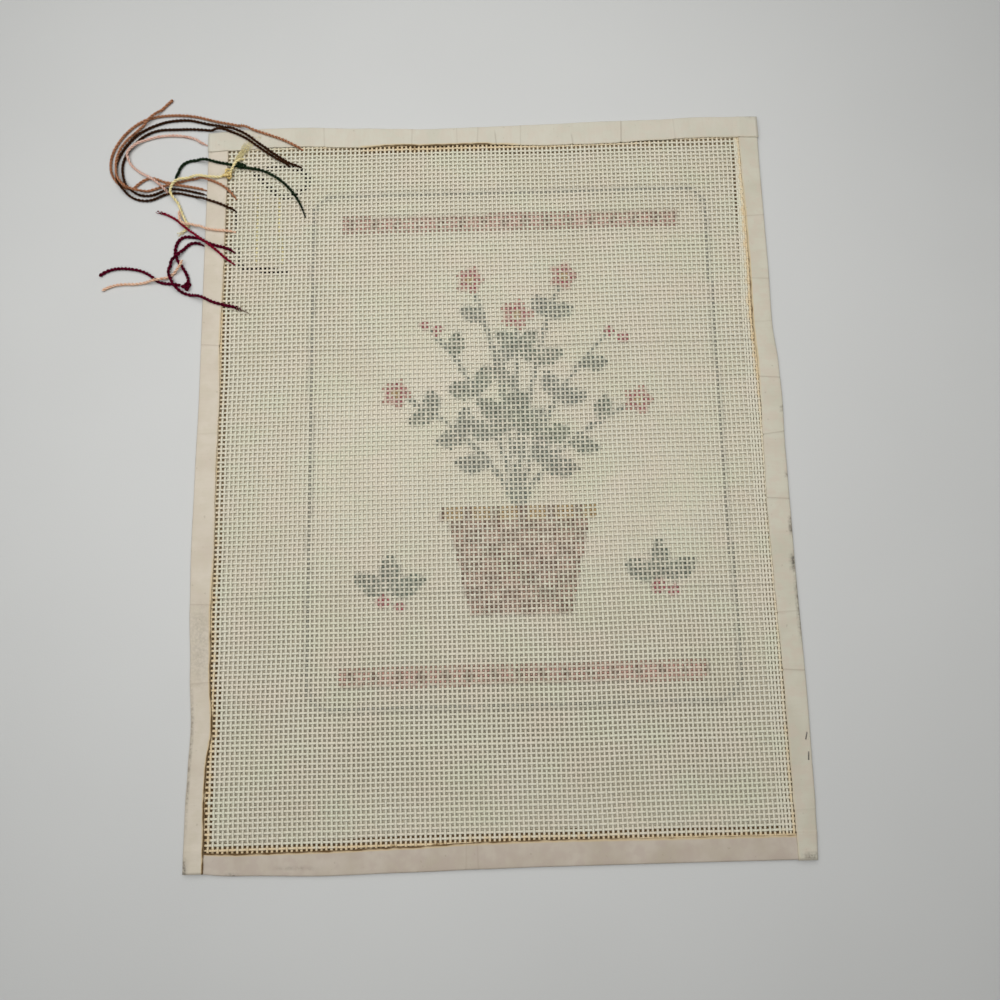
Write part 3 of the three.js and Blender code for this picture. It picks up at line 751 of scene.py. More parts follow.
@dataclass
class PaintedDesign:
    """A plain basket of flowers between two borders, painted on the front and seen from behind.

    It is worked out from sizes and curves alone. The paint has sunk between the threads, so it
    shows faintly from the back, strongest in the holes.
    """

    basket_at: Point = (0.012, -0.045)
    basket_top: float = 0.066
    basket_foot: float = 0.046
    basket_height: float = 0.046
    frame_box: tuple[float, float, float, float] = (-0.084, -0.108, 0.108, 0.138)
    band_rows: tuple[Point, ...] = ((0.1175, 0.1265), (-0.0985, -0.0895))
    band_ends: Point = (-0.070, 0.094)
    stem_ends: tuple[Point, ...] = (
        (-0.044, 0.036),
        (-0.030, 0.070),
        (-0.008, 0.092),
        (0.014, 0.074),
        (0.037, 0.093),
        (0.058, 0.064),
        (0.070, 0.030),
    )
    sprigs: tuple[Point, ...] = ((-0.048, -0.058), (0.076, -0.054))
    berried: tuple[int, ...] = (1, 5)
    corner: float = 0.012
    frame_line: float = 0.0011
    band_rim: float = 0.0021
    diamond_pitch: float = 0.0106
    diamond_half: float = 0.0027
    stem_half: float = 0.0013
    vein_half: float = 0.0011
    cane: Point = (0.0085, 0.0064)
    rim_half: Point = (0.036, 0.0035)
    rim_wrap: float = 0.0042
    leaf_grey: tuple = (0.145, 0.165, 0.140)
    leaf_green: tuple = (0.100, 0.135, 0.095)
    rose: tuple = (0.330, 0.060, 0.080)
    blush: tuple = (0.420, 0.200, 0.160)
    brown: tuple = (0.160, 0.080, 0.052)
    tan: tuple = (0.300, 0.165, 0.120)
    ochre: tuple = (0.380, 0.240, 0.100)
    pencil: tuple = (0.250, 0.243, 0.200)

    def stem(self, end: Point, share: Array) -> Array:
        """Points on the curved stem that rises from the basket to an end.

        Args:
            end: where the stem ends.
            share: how far along it each point lies, from 0 to 1.

        Returns:
            One row of x and y for each share.
        """
        start = np.array([self.basket_at[0], self.basket_at[1] + self.basket_height / 2])
        tip = np.array(end)
        bend = start + (tip - start) * np.array([0.22, 0.62])
        share = np.asarray(share, float)[..., None]
        return start * (1 - share) ** 2 + 2 * bend * share * (1 - share) + tip * share**2

    def leaf(self, at: Array, angle: float, reach: float, *size: float) -> Leaf:
        """A leaf whose middle stands so far from a place, in the leaf's own direction."""
        return Leaf(at[0] + reach * math.cos(angle), at[1] + reach * math.sin(angle), angle, *size)

    def leaves(self) -> list[Leaf]:
        """The leaf pairs along the stems, and the leaves of the side sprigs.

        Returns:
            Every leaf of the design.
        """
        made = []
        for number, end in enumerate(self.stem_ends):
            for step, share in enumerate((0.34, 0.56, 0.78)):
                here, ahead = self.stem(end, np.array([share, share + 0.03]))
                heading = math.atan2(ahead[1] - here[1], ahead[0] - here[0])
                size = (0.0165 - 0.0015 * step, 0.0085 - 0.0006 * step, (number * 0.37 + step * 0.29) % 1)
                for turn in (0.85, -0.85):
                    if (number + step + (turn > 0)) % 4:
                        made.append(self.leaf(here, heading + turn, 0.0085 - 0.001 * step, *size))
        for number, at in enumerate(self.sprigs):
            made += [self.leaf(at, turn + 0.1 * number, 0.010, 0.017) for turn in (0.4, 1.5, 2.6)]
        return made

    def blooms(self) -> list[Bloom]:
        """The flowers and berries at the ends of the stems, and those of the side sprigs.

        Returns:
            Every flower and berry of the design.
        """
        made = []
        for number, (x, y) in enumerate(self.stem_ends):
            if number in self.berried:
                made += [Bloom(x, y, 0.0027, 0), Bloom(x + 0.006, y - 0.003, 0.0027, 0)]
            else:
                made.append(Bloom(x, y, 0.0085 if number == 3 else 0.0075))
        for x, y in self.sprigs:
            made += [Bloom(x - 0.002, y - 0.003, 0.0032, 0), Bloom(x + 0.005, y - 0.005, 0.0027, 0)]
        return made

    def lay(self, sheet: Array, where: Array, colour: tuple, cover: float) -> None:
        """Brushes a colour over part of the sheet, with the strength that it shows."""
        sheet[where] = (*colour, cover)

    def colour_at(self, x: Array, y: Array) -> Array:
        """The paint at each place.

        Args:
            x, y: places on the canvas.

        Returns:
            Linear red, green, blue and how strongly the paint shows, from 0 to 1.
        """
        sheet = np.zeros((*x.shape, 4))
        sheet[..., :3] = self.pencil
        left, low, right, high = self.frame_box
        past_x = np.abs(x - (left + right) / 2) - (right - left) / 2 + self.corner
        past_y = np.abs(y - (low + high) / 2) - (high - low) / 2 + self.corner
        beyond = np.hypot(np.maximum(past_x, 0), np.maximum(past_y, 0)) - self.corner
        beyond = beyond + np.minimum(np.maximum(past_x, past_y), 0)
        self.lay(sheet, np.abs(beyond) < self.frame_line, self.pencil, 0.60)
        for bottom, top in self.band_rows:
            inside = (y > bottom) & (y < top) & (x > self.band_ends[0]) & (x < self.band_ends[1])
            self.lay(sheet, inside, self.blush, 0.62)
            rim = inside & ((y - bottom < self.band_rim) | (top - y < self.band_rim))
            self.lay(sheet, rim, self.tan, 0.72)
            across = np.abs((x - self.band_ends[0]) % self.diamond_pitch - self.diamond_pitch / 2)
            diamond = inside & (across + np.abs(y - (bottom + top) / 2) < self.diamond_half)
            self.lay(sheet, diamond, self.brown, 0.85)
        share = np.linspace(0, 1, 60)
        for end in self.stem_ends:
            for px, py in self.stem(end, share):
                self.lay(sheet, np.hypot(x - px, y - py) < self.stem_half, self.leaf_grey, 0.6)
        for leaf in self.leaves():
            along = (x - leaf.x) * math.cos(leaf.angle) + (y - leaf.y) * math.sin(leaf.angle)
            aside = (y - leaf.y) * math.cos(leaf.angle) - (x - leaf.x) * math.sin(leaf.angle)
            taper = 1 - (2 * along / leaf.length) ** 2
            where = (taper > 0) & (np.abs(aside) < leaf.width / 2 * taper + 0.0005)
            mixed = np.array(self.leaf_grey) * (1 - leaf.tone) + np.array(self.leaf_green) * leaf.tone
            self.lay(sheet, where, tuple(mixed), 0.82)
            vein = where & (np.abs(aside) < self.vein_half)
            self.lay(sheet, vein, tuple(mixed * 0.72), 0.9)
        for bloom in self.blooms():
            away = np.hypot(x - bloom.x, y - bloom.y)
            turn = np.arctan2(y - bloom.y, x - bloom.x)
            reach = bloom.radius * (0.86 + 0.14 * np.cos(bloom.petals * turn))
            self.lay(sheet, away < reach, self.rose, 0.8)
            if bloom.petals:
                self.lay(sheet, (away < reach) & (away > reach * 0.72), self.blush, 0.7)
                self.lay(sheet, away < bloom.radius * 0.3, self.ochre, 0.8)
        self.paint_basket(sheet, x, y)
        return sheet

    def paint_basket(self, sheet: Array, x: Array, y: Array) -> None:
        """Brushes the woven basket and its rim over the foot of the stems.

        Args:
            sheet: the colours so far, changed in place.
            x, y: the places, in metres from the panel's middle.
        """
        middle, level = self.basket_at
        foot = level - self.basket_height / 2
        rise = np.clip((y - foot) / self.basket_height, 0, 1)
        half = (self.basket_foot + (self.basket_top - self.basket_foot) * rise) / 2
        body = (y > foot) & (y < foot + self.basket_height) & (np.abs(x - middle) < half)
        cell_x, cell_y = np.floor((x - middle) / self.cane[0]), np.floor((y - foot) / self.cane[1])
        even = (cell_x + cell_y) % 2 == 0
        self.lay(sheet, body & even, self.brown, 0.8)
        self.lay(sheet, body & ~even, self.tan, 0.66)
        wide, tall = self.rim_half
        rim = (np.abs(y - foot - self.basket_height) < tall) & (np.abs(x - middle) < wide)
        self.lay(sheet, rim, self.ochre, 0.66)
        self.lay(sheet, rim & (np.floor((x - middle) / self.rim_wrap) % 3 == 0), self.brown, 0.75)


@dataclass(frozen=True)
class CanvasFinish:
    """Unbleached cotton canvas, sized, with paint and painted shade in its recesses, and old glue beside
    the tape.
    """

    thread: tuple = srgb(209, 206, 190)
    # Painted shade: the colour of the threads' lower, hidden sides, also used for the random mottle.
    mottle_and_recess_shade: tuple = srgb(186, 171, 138)
    greenish: tuple = srgb(204, 208, 184)
    pinkish: tuple = srgb(214, 202, 186)
    streak: tuple = srgb(176, 164, 132)
    amber: tuple = srgb(208, 188, 152)
    burnt: tuple = srgb(120, 90, 40)

    def material(self) -> Material:
        """Builds the material.

        Returns:
            The finished material.
        """
        bench = NodeBench("canvas_cotton", 0.82)
        low, paint = bench.value("low"), bench.colour("paint")
        fibre = bench.fibres(900.0, 9.0, 3.0)
        mottle = bench.times(bench.between(bench.noise(38.0), 0.35, 0.7), 0.12)
        # Painted shade: each thread darkens and warms towards the bottom of the weave, by how low it lies,
        # plus a random mottle.
        hollow = bench.times(bench.maths("POWER", low, 1.4), 0.75)
        cotton = bench.blend(bench.maths("ADD", hollow, mottle, clamp=True), self.thread, self.mottle_and_recess_shade)
        for tint, scale in ((self.greenish, 31.0), (self.pinkish, 47.0)):
            cloud = bench.noise(scale, 3.0, bench.stretched(bench.object_place, (1.0, 1.4, 1.0)))
            cotton = bench.tinted(cotton, tint, cloud, (0.42, 0.68), 0.42)
        cotton = bench.tinted(cotton, self.streak, fibre, (0.3, 0.8), 0.16)
        sunk = bench.maths("MULTIPLY_ADD", bench.between(low, 0.25, 0.85), 0.62, 0.42)
        dabs = bench.between(bench.noise(420.0, 1.0), 0.22, 0.62)
        cover = bench.times(bench.times(paint.outputs["Alpha"], sunk), dabs, clamp=True)
        cotton = bench.blend(cover, cotton, paint.outputs["Color"])
        seep = bench.maths("MULTIPLY_ADD", bench.between(bench.noise(300.0), 0.2, 0.7), 0.5, 0.6)
        glued = bench.times(bench.value("glue"), seep, clamp=True)
        cotton = bench.tinted(cotton, self.amber, glued, (0.02, 0.75))
        cotton = bench.tinted(cotton, self.burnt, glued, (0.80, 1.05))
        bench.bump(fibre, 0.00006)
        bench.shader.inputs["Sheen Weight"].default_value = 0.10
        return bench.finish(cotton)


@dataclass(frozen=True)
class PaintFilmFinish:
    """Thin matt paint that bridges the holes of the canvas."""

    thin: tuple = srgb(190, 182, 160)

    def material(self) -> Material:
        """Builds the material.

        Returns:
            The finished material.
        """
        bench = NodeBench("canvas_paint", 0.7)
        grain = bench.noise(700.0)
        bench.bump(grain, 0.00008)
        return bench.finish(
            bench.tinted(bench.colour("paint").outputs["Color"], self.thin, grain, (0.3, 0.75), 0.35)
        )


@dataclass(frozen=True)
class TapeFinish:
    """Thin matt cotton tape with fine cross wrinkles, yellowed where the glue has come through, and
    darkened along its creases by painted shade and dirt.
    """

    name: str
    colour: tuple
    aged: tuple
    spot: tuple
    speck: tuple = srgb(140, 132, 114)
    streak: tuple = srgb(170, 156, 132)
    amber: tuple = srgb(196, 172, 124)
    burnt: tuple = srgb(90, 64, 24)
    pinch: tuple = srgb(112, 92, 74)
    # Painted shade and dirt along the crease lines.
    dirt: tuple = srgb(74, 70, 62)

    def material(self) -> Material:
        """Builds the material.

        Returns:
            The finished material.
        """
        bench = NodeBench(self.name, 0.74)
        wrinkle, glue = bench.fibres(900.0, 120.0, 3.0), bench.value("glue")
        base: object = self.colour
        for tint, mask, span, most in (
            (self.aged, bench.noise(60.0, 3.0), (0.35, 0.7), 1.0),
            (self.spot, bench.noise(240.0), (0.4, 0.66), 0.5),
            (self.speck, bench.noise(520.0, 1.0), (0.70, 0.78), 0.35),
            (self.streak, wrinkle, (0.35, 0.75), 0.08),
            (self.amber, glue, (0.0, 0.8), 0.6),
            (self.burnt, glue, (0.75, 1.6), 1.0),
        ):
            base = bench.tinted(base, tint, mask, span, most)
        # Painted shade and dirt: the crease lines are darkened towards the pinch colour.
        base = bench.blend(bench.times(bench.value("crease"), 0.42, clamp=True), base, self.pinch)
        grime = bench.maths("ADD", bench.between(bench.noise(900.0, 3.0), 0.3, 0.7), 0.25)
        base = bench.blend(bench.times(bench.value("soil"), grime, clamp=True), base, self.dirt)
        weave = bench.times(bench.noise(2600.0, 1.0), 0.5)
        bench.bump(bench.maths("ADD", wrinkle, weave), 0.00006)
        return bench.finish(base)


@dataclass(frozen=True)
class WoolFinish:
    """Two-ply wool: dyed fibres that run along the ply, paler where they stand proud, with painted shade in
    the groove between the plies.
    """

    name: str
    colour: tuple
    pale: tuple
    # The deep colour serves both darker dye and the painted shade between the plies.
    deep: tuple

    def material(self) -> Material:
        """Builds the material.

        Returns:
            The finished material.
        """
        bench = NodeBench(self.name, 0.86)
        fibres = bench.fibres(420.0, 14.0, 4.0)
        wool = bench.tinted(self.colour, self.pale, fibres, (0.42, 0.78))
        wool = bench.tinted(wool, self.deep, bench.noise(260.0), (0.55, 0.8))
        # Painted shade: the side of each ply that faces the other ply is darkened towards the deep colour.
        wool = bench.blend(bench.times(bench.value("painted_ply_shade"), 0.85), wool, self.deep)
        bench.bump(fibres, 0.00014)
        bench.shader.inputs["Sheen Weight"].default_value = 0.01
        bench.shader.inputs["Specular IOR Level"].default_value = 0.03
        bench.shader.inputs["Sheen Roughness"].default_value = 0.5
        return bench.finish(wool)


@dataclass(frozen=True)
class StapleFinish:
    """Dull steel wire with a little rust."""

    steel: tuple = srgb(120, 118, 114)
    rust: tuple = srgb(92, 66, 46)

    def material(self) -> Material:
        """Builds the material.

        Returns:
            The finished material.
        """
        bench = NodeBench("staple_steel", 0.42)
        spots = bench.noise(1800.0, 3.0)
        bench.shader.inputs["Metallic"].default_value = 1.0
        bench.bump(spots, 0.00003)
        return bench.finish(bench.tinted(self.steel, self.rust, spots, (0.5, 0.75)))


@dataclass(frozen=True)
class FloorFinish:
    """A plain pale table top, almost even, with painted warm light beneath the canvas, as if it came
    through the cotton, dimmer towards the panel's bottom.
    """

    colour: tuple = srgb(192, 193, 192)
    cloud: tuple = srgb(190, 191, 190)
    painted_warm_light: tuple = srgb(236, 229, 210)
    painted_warm_light_near: tuple = srgb(200, 193, 173)
    half_open: tuple = (("X", 0.1300), ("Y", 0.1680))
    edge: float = 4 * MM

    def material(self) -> Material:
        """Builds the material.

        Returns:
            The finished material.
        """
        bench = NodeBench("table_top", 0.6)
        bench.bump(bench.noise(1400.0), 0.00003)
        plain = bench.tinted(self.colour, self.cloud, bench.noise(9.0), (0.3, 0.7))
        place = bench.node("ShaderNodeSeparateXYZ", {0: bench.object_place})
        # Painted light: beneath the canvas the table is painted warm and bright, dimmer towards the bottom
        # of the panel.
        through = bench.tinted(self.painted_warm_light_near, self.painted_warm_light, place.outputs["Y"], (-0.13, 0.0))
        return bench.finish(bench.blend(self.beneath(bench, place), plain, through))

    def beneath(self, bench: NodeBench, place: bpy.types.Node) -> Socket:
        """How far a place lies beneath the open canvas, which lets warm light through, painted here on the
        table.

        Args:
            bench: the material's own workbench.
            place: the node that splits the place into axes.

        Returns:
            A wire that is 1 beneath the canvas and 0 away from it.
        """
        within = []
        for axis, half in self.half_open:
            away = bench.maths("ABSOLUTE", place.outputs[axis])
            within.append(bench.maths("SUBTRACT", 1.0, bench.between(away, half - self.edge, half)))
        return bench.times(*within)


@dataclass
class Weave:
    """The open plain weave: every warp and weft, over and under at each crossing."""

    form: PanelForm
    design: PaintedDesign
    across: float = 2.1167 * MM
    down: float = 2.1438 * MM
    first_warp: float = -131.6 * MM
    open_warps: int = 121
    packed_warps: int = 9
    packed_end: float = 133.3 * MM
    wefts: int = 160
    thread_width: float = 1.12 * MM
    thread_height: float = 0.46 * MM
    rise: float = 0.24 * MM
    inside_fold: float = 1.1 * MM
    end_lift: float = 0.4
    film_drop: float = 0.18 * MM
    film_half: tuple[float, ...] = (0.64 * MM, 0.66 * MM, 0.06 * MM)
    row_bands: tuple[int, ...] = (0, 53, 107, 160)
    section: tuple = ((0.5, -0.1), (0.25, 0.5), (-0.25, 0.5), (-0.5, -0.1), (-0.3, -0.5), (0.3, -0.5))
    cross_x: Array = field(init=False)
    cross_y: Array = field(init=False)
    parity: Array = field(init=False)

    def __post_init__(self) -> None:
        """Places every crossing."""
        rng = np.random.default_rng(11)
        warps = self.open_warps + self.packed_warps
        row = (np.arange(self.wefts) - (self.wefts - 1) / 2) * self.down
        row = row + rng.normal(0, 0.06 * MM, self.wefts)
        number = np.arange(warps)[:, None]
        straight = self.first_warp + self.across * number
        shift = row_value(LEANS, "shift", row)[None, :]
        last = self.first_warp + self.across * (self.open_warps - 1)
        opened = straight + shift * smoothstep(straight, 0.062, last)
        step = (self.packed_end - last - shift) / self.packed_warps
        packed = last + shift + (number - self.open_warps + 1) * step
        self.cross_x = np.where(number < self.open_warps, opened, packed)
        self.cross_x = self.cross_x + rng.normal(0, 0.05 * MM, warps)[:, None]
        sway = wobble(row, 0.11, 5)[None, :] * 0.16 * MM
        self.cross_x = self.cross_x + sway
        self.cross_y = row[None, :] + 0.18 * MM * wobble(self.cross_x, 0.13, 6)
        self.parity = np.where((number + np.arange(self.wefts)[None, :]) % 2 == 0, 1.0, -1.0)

    def glue_at(self, x: Array, y: Array) -> Array:
        """How strongly the old glue shows at each place, from 0 to 1.

        Args:
            x, y: the places, in metres from the panel's middle.

        Returns:
            One strength for each place.
        """
        total = np.zeros_like(x)
        for side in Side:
            along = y if side.upright else x
            reach = row_value(GLUES[side], "reach", along)
            strength = row_value(GLUES[side], "strength", along)
            inward = self.form.from_tape(side, x, y, "inner")
            uneven = 1 + 0.4 * wobble(along, 0.009, 40 + len(side.value))
            total = np.maximum(total, strength * (1 - smoothstep(inward, 0, reach * uneven)))
        return total

    def threads(self, draft: MeshDraft, lines: Array, mids: Array, flat: tuple) -> None:
        """Adds tubes of the thread's section along lines of points.

        Args:
            draft: the mesh to add to.
            lines: points, one row of rings for each thread.
            mids: the height of the middle of the mesh at each point.
            flat: the direction of the section's width.
        """
        rng = np.random.default_rng(draft.count + len(lines))
        tubes, rings = lines.shape[:2]
        shape = np.array(self.section)
        wide = self.thread_width * (1 + rng.normal(0, 0.05, (tubes, 1)))
        wide = wide * (1 + rng.normal(0, 0.035, (tubes, rings)))
        tall = self.thread_height * (1 + rng.normal(0, 0.04, (tubes, rings)))
        points = lines[:, :, None, :] + (
            shape[None, None, :, 0, None] * wide[:, :, None, None] * np.array(flat)
            + shape[None, None, :, 1, None] * tall[:, :, None, None] * np.array([0, 0, 1.0])
        )
        faces, laid = tube_faces(tubes, rings, len(shape), self.down)
        # How low each point lies in the weave: the finish paints shade by it and lets the front's paint
        # show more there.
        depth = self.rise + self.thread_height / 2
        low = np.clip((mids[:, :, None] + depth - points[..., 2]) / (2 * depth), 0, 1)
        paint = self.design.colour_at(lines[..., 0], lines[..., 1])
        paint = np.repeat(paint.reshape(-1, 4), len(shape), 0)
        glue = np.repeat(self.glue_at(lines[..., 0], lines[..., 1]).ravel(), len(shape))
        draft.add(points, faces, laid, low=low.ravel(), paint=paint, glue=glue)

    def band(self, number: int, finish: Material) -> Piece:
        """Makes one band of rows, with its stretch of every warp.

        Args:
            number: which band, from the bottom.
            finish: the canvas's material.

        Returns:
            The band's object.
        """
        first, last = self.row_bands[number], self.row_bands[number + 1]
        draft = MeshDraft(f"canvas_rows_{number + 1}")
        self.threads(draft, *self.warp_lines(first, last), (-1.0, 0, 0))
        self.threads(draft, *self.weft_lines(first, last), (0, 1.0, 0))
        piece = draft.build(finish, "canvas_cotton", "canvas")
        return piece

    def stop(self, side: Side, along: Array) -> Array:
        """Where the threads end inside the fold of one side's tape."""
        inward = self.form.edge(side, "outer", along) + self.inside_fold
        return side.sign * (self.form.half(side) - inward)

    def lifted(self, x: Array, y: Array, lift: Array, ends: tuple) -> tuple:
        """Lifts lines over and under at each crossing.

        Args:
            x, y: the lines' points, with one more at each end than the crossings.
            lift: 1 where a line goes over and -1 where it goes under.
            ends: how much of the next crossing's lift the first and last points keep.

        Returns:
            The points, and the height of the middle of the mesh at each.
        """
        mids = self.form.mesh_height(x, y)
        lift = np.column_stack([lift[:, 0] * ends[0], lift, lift[:, -1] * ends[1]])
        return np.stack([x, y, mids + self.rise * lift], -1), mids

    def warp_lines(self, first: int, last: int) -> tuple[Array, Array]:
        """The warps' points over a band of rows, cut on the slope between two rows.

        Args:
            first: the band's first row.
            last: the row after its last.

        Returns:
            The points, one line for each warp, and the height of the middle of the mesh at each.
        """
        x, y = self.cross_x[:, first:last], self.cross_y[:, first:last]
        ends = []
        for row, beyond, side in ((first, first - 1, Side.BOTTOM), (last - 1, last, Side.TOP)):
            near = self.cross_x[:, row]
            if 0 <= beyond < self.wefts:
                cut = [(cross[:, row] + cross[:, beyond]) / 2 for cross in (self.cross_x, self.cross_y)]
                ends.append((*cut, 0.0))
            else:
                ends.append((near, self.stop(side, near), self.end_lift))
        start, stop = ends
        x, y = (np.column_stack([start[axis], line, stop[axis]]) for axis, line in enumerate((x, y)))
        return self.lifted(x, y, self.parity[:, first:last], (start[2], stop[2]))

    def weft_lines(self, first: int, last: int) -> tuple[Array, Array]:
        """The wefts' points over a band of rows, from fold to fold.

        Args:
            first: the band's first row.
            last: the row after its last.

        Returns:
            The points, one line for each weft, and the height of the middle of the mesh at each.
        """
        x, y = self.cross_x[:, first:last].T, self.cross_y[:, first:last].T
        right = np.maximum(self.stop(Side.RIGHT, y[:, -1]), x[:, -1] + 0.3 * MM)
        x = np.column_stack([self.stop(Side.LEFT, y[:, 0]), x, right])
        y = np.column_stack([y[:, 0], y, y[:, -1]])
        return self.lifted(x, y, -self.parity[:, first:last].T, (self.end_lift, self.end_lift))

    def film(self, finish: Material) -> Piece:
        """Makes the paint that bridges the holes of the painted places.

        Args:
            finish: the paint's material.

        Returns:
            The film's object, one thin lens in each filled hole.
        """
        rng = np.random.default_rng(23)
        low, high = slice(None, -1), slice(1, None)
        x = sum(self.cross_x[corner] for corner in ((low, low), (high, low), (low, high), (high, high))) / 4
        y = (self.cross_y[low, low] + self.cross_y[low, high]) / 2
        paint = self.design.colour_at(x, y)
        filled = paint[..., 3] * rng.uniform(0.72, 1.0, x.shape) > 0.42
        x, y, paint = x[filled], y[filled], paint[filled]
        level = self.form.mesh_height(x, y) - self.film_drop
        half_x, half_y, half_z = self.film_half
        turned = np.array([[0.76, 0.76, 0], [-0.76, 0.76, 0], [0, 0, 1.0]])
        rim = np.array([[half_x, 0, 0], [0, half_y, 0], [-half_x, 0, 0], [0, -half_y, 0]]) @ turned
        offsets = np.vstack([rim * 1.22, [[0, 0, half_z]], [[0, 0, -half_z]]])
        spread = rng.uniform(0.82, 1.1, (len(x), 1, 1))
        points = np.stack([x, y, level], -1)[:, None, :] + offsets[None] * spread
        around = np.array([[0, 1], [1, 2], [2, 3], [3, 0]])
        top = np.column_stack([around, np.full(4, 4)])
        under = np.column_stack([around[:, ::-1], np.full(4, 5)])
        faces = np.vstack([top, under])[None] + np.arange(len(x))[:, None, None] * len(offsets)
        faces = faces.reshape(-1, 3)
        shade = rng.uniform(0.85, 1.12, (len(x), 1))
        colours = np.repeat(np.hstack([paint[:, :3] * shade, paint[:, 3:]]), len(offsets), 0)
        draft = MeshDraft("paint_film")
        draft.add(points, [faces], [np.zeros((faces.size, 2))], paint=colours)
        return draft.build(finish, "canvas_paint")


@dataclass
class Tape:
    """One strip of tape, folded over a side of the canvas and stuck down on both faces."""

    form: PanelForm
    side: Side
    thickness: float = 0.35 * MM
    upper: float = 1.66 * MM
    under: float = 0.225 * MM
    lap_lift: float = 0.40 * MM
    under_extra: float = 3.9 * MM
    step: float = 1.4 * MM
    squeeze: float = 20.0 * MM
    leg_shares: tuple[float, ...] = (0, 0.05, 0.14, 0.27, 0.42, 0.57, 0.72, 0.86, 1.0)
    fold_angles: tuple[float, ...] = (112, 135, 158, 180, 202, 225, 248, 270)
    under_shares: tuple[float, ...] = (0.06, 0.35, 0.7, 1.0)
    crease_steps: tuple[float, ...] = (-1.4, -0.8, -0.45, -0.2, 0, 0.2, 0.45, 0.8, 1.4)
    crease_room: float = 1.7 * MM
    ridge: float = 0.42 * MM
    hollow: float = 0.45 * MM
    hollow_off: float = 0.9 * MM
    notch_depth: float = 0.35 * MM
    notch: float = 0.7 * MM
    dark_line: float = 0.26 * MM
    slant_span: float = 4 * MM
    slant_about: float = 5 * MM

    def half_reach(self) -> float:
        """Half the length of the side."""
        return (self.form.length if self.side.upright else self.form.width) / 2

    def crossing(self, end: int) -> Side:
        """The side whose tape this one meets at its low (-1) or high (1) end.

        Args:
            end: -1 for the low end, 1 for the high end.

        Returns:
            The side that the other tape binds.
        """
        if self.side.upright:
            return Side.BOTTOM if end < 0 else Side.TOP
        return Side.LEFT if end < 0 else Side.RIGHT

    def covers(self, end: int) -> bool:
        """Whether this tape lies over the other one at an end."""
        return self.side is Side.TOP or (self.side.upright and end < 0)

    def corner(self, end: int, column: str) -> float:
        """How far in the crossing tape's fold or leg reaches where this side meets it."""
        return self.form.edge(self.crossing(end), column, self.side.sign * self.form.half(self.side))

    def limit(self, end: int, beneath: Array) -> Array:
        """Where each line of the section stops at the low (-1) or high (1) end.

        Args:
            end: which end.
            beneath: whether each line is on the under leg.

        Returns:
            Places along the side.
        """
        stop, outer = self.half_reach() * end, self.corner(end, "outer")
        if self.covers(end):
            short = self.corner(end, "inner") + self.under_extra + 0.3 * MM
            return stop - end * np.where(beneath, short, outer + 0.05 * MM)
        return stop - end * (outer + 1.35 * MM)

    def stations(self) -> Array:
        """The places of the section's copies, closer together at each crease.

        Returns:
            Places along the side, in rising order.
        """
        reach = self.half_reach()
        places = list(np.linspace(-reach, reach, int(2 * reach / self.step)))
        for crease in CREASES[self.side]:
            places = [place for place in places if abs(place - crease.at) > self.crease_room]
            places += [crease.at + off * MM for off in self.crease_steps]
        return np.array(sorted(places))

    def lift(self, along: Array) -> Array:
        """How far the tape is raised by the tape that it laps over at a corner.

        Args:
            along: places along the side.

        Returns:
            The rise at each place, in metres.
        """
        total = np.zeros_like(along)
        for end in (-1, 1):
            if self.covers(end):
                past = along * end - (self.half_reach() - self.corner(end, "inner"))
                total = total + self.lap_lift * smoothstep(past, -1.2 * MM, 0.2 * MM)
        return total

    def relief(self, along: Array, inward: Array) -> Array:
        """The low waves and pinches of the visible leg.

        Args:
            along: places along the side.
            inward: how far in from the side each point lies.

        Returns:
            The height to be added at each point, in metres.
        """
        seed = 60 + len(self.side.value) * 3
        height = 0.05 * MM * wobble(along + 0.4 * inward, 0.013, seed)
        height = height + 0.035 * MM * wobble(along - inward, 0.005, seed + 1)
        for crease in CREASES[self.side]:
            away = along - crease.at
            there = smoothstep(inward, crease.starts, crease.starts + 1.5 * MM + 1e-6)
            pinch = bell(away, self.ridge) - 0.35 * bell(away - self.hollow_off, self.hollow)
            height = height + (there if crease.starts else 1.0) * crease.height * pinch
        return height

    def leg_edge(self, station: Array) -> Array:
        """How far in the visible leg's uneven edge lies, notched at each crease.

        Args:
            station: places along the side.

        Returns:
            The distance in from the panel's side at each place.
        """
        notches = sum(
            self.notch_depth * crease.dark * bell(station - crease.at, self.notch)
            for crease in CREASES[self.side]
        )
        inner = self.form.edge(self.side, "inner", station) - notches
        return inner + 0.12 * MM * wobble(station, 0.02, 81) + 0.05 * MM * wobble(station, 0.004, 82)

    def section(self, station: Array, outer: Array, inner: Array) -> tuple:
        """The middle line of the strip's section at each station, from edge to edge.

        Args:
            station: places along the side, in a column.
            outer, inner: how far in the fold and the visible leg's edge lie there.

        Returns:
            How far in and how high each line lies, and how far in and up its outer face points.
        """
        top = self.upper + self.lift(station)
        radius = (top - self.under) / 2
        bend = outer + radius + self.thickness / 2
        angles = np.radians(self.fold_angles)
        upper, lower = np.zeros(len(self.leg_shares)), np.zeros(len(self.under_shares))
        shape = (
            inner + (bend - inner) * np.array(self.leg_shares),
            bend + radius * np.cos(angles),
            bend + (inner + self.under_extra - bend) * np.array(self.under_shares),
        )
        fold = (top + self.under) / 2 + radius * np.sin(angles)
        height = np.hstack([top + upper, fold, self.under + lower + 0 * station])
        normal_in = np.concatenate([upper, np.cos(angles), lower])
        return np.hstack(shape), height, normal_in, np.concatenate([upper + 1, np.sin(angles), lower - 1])

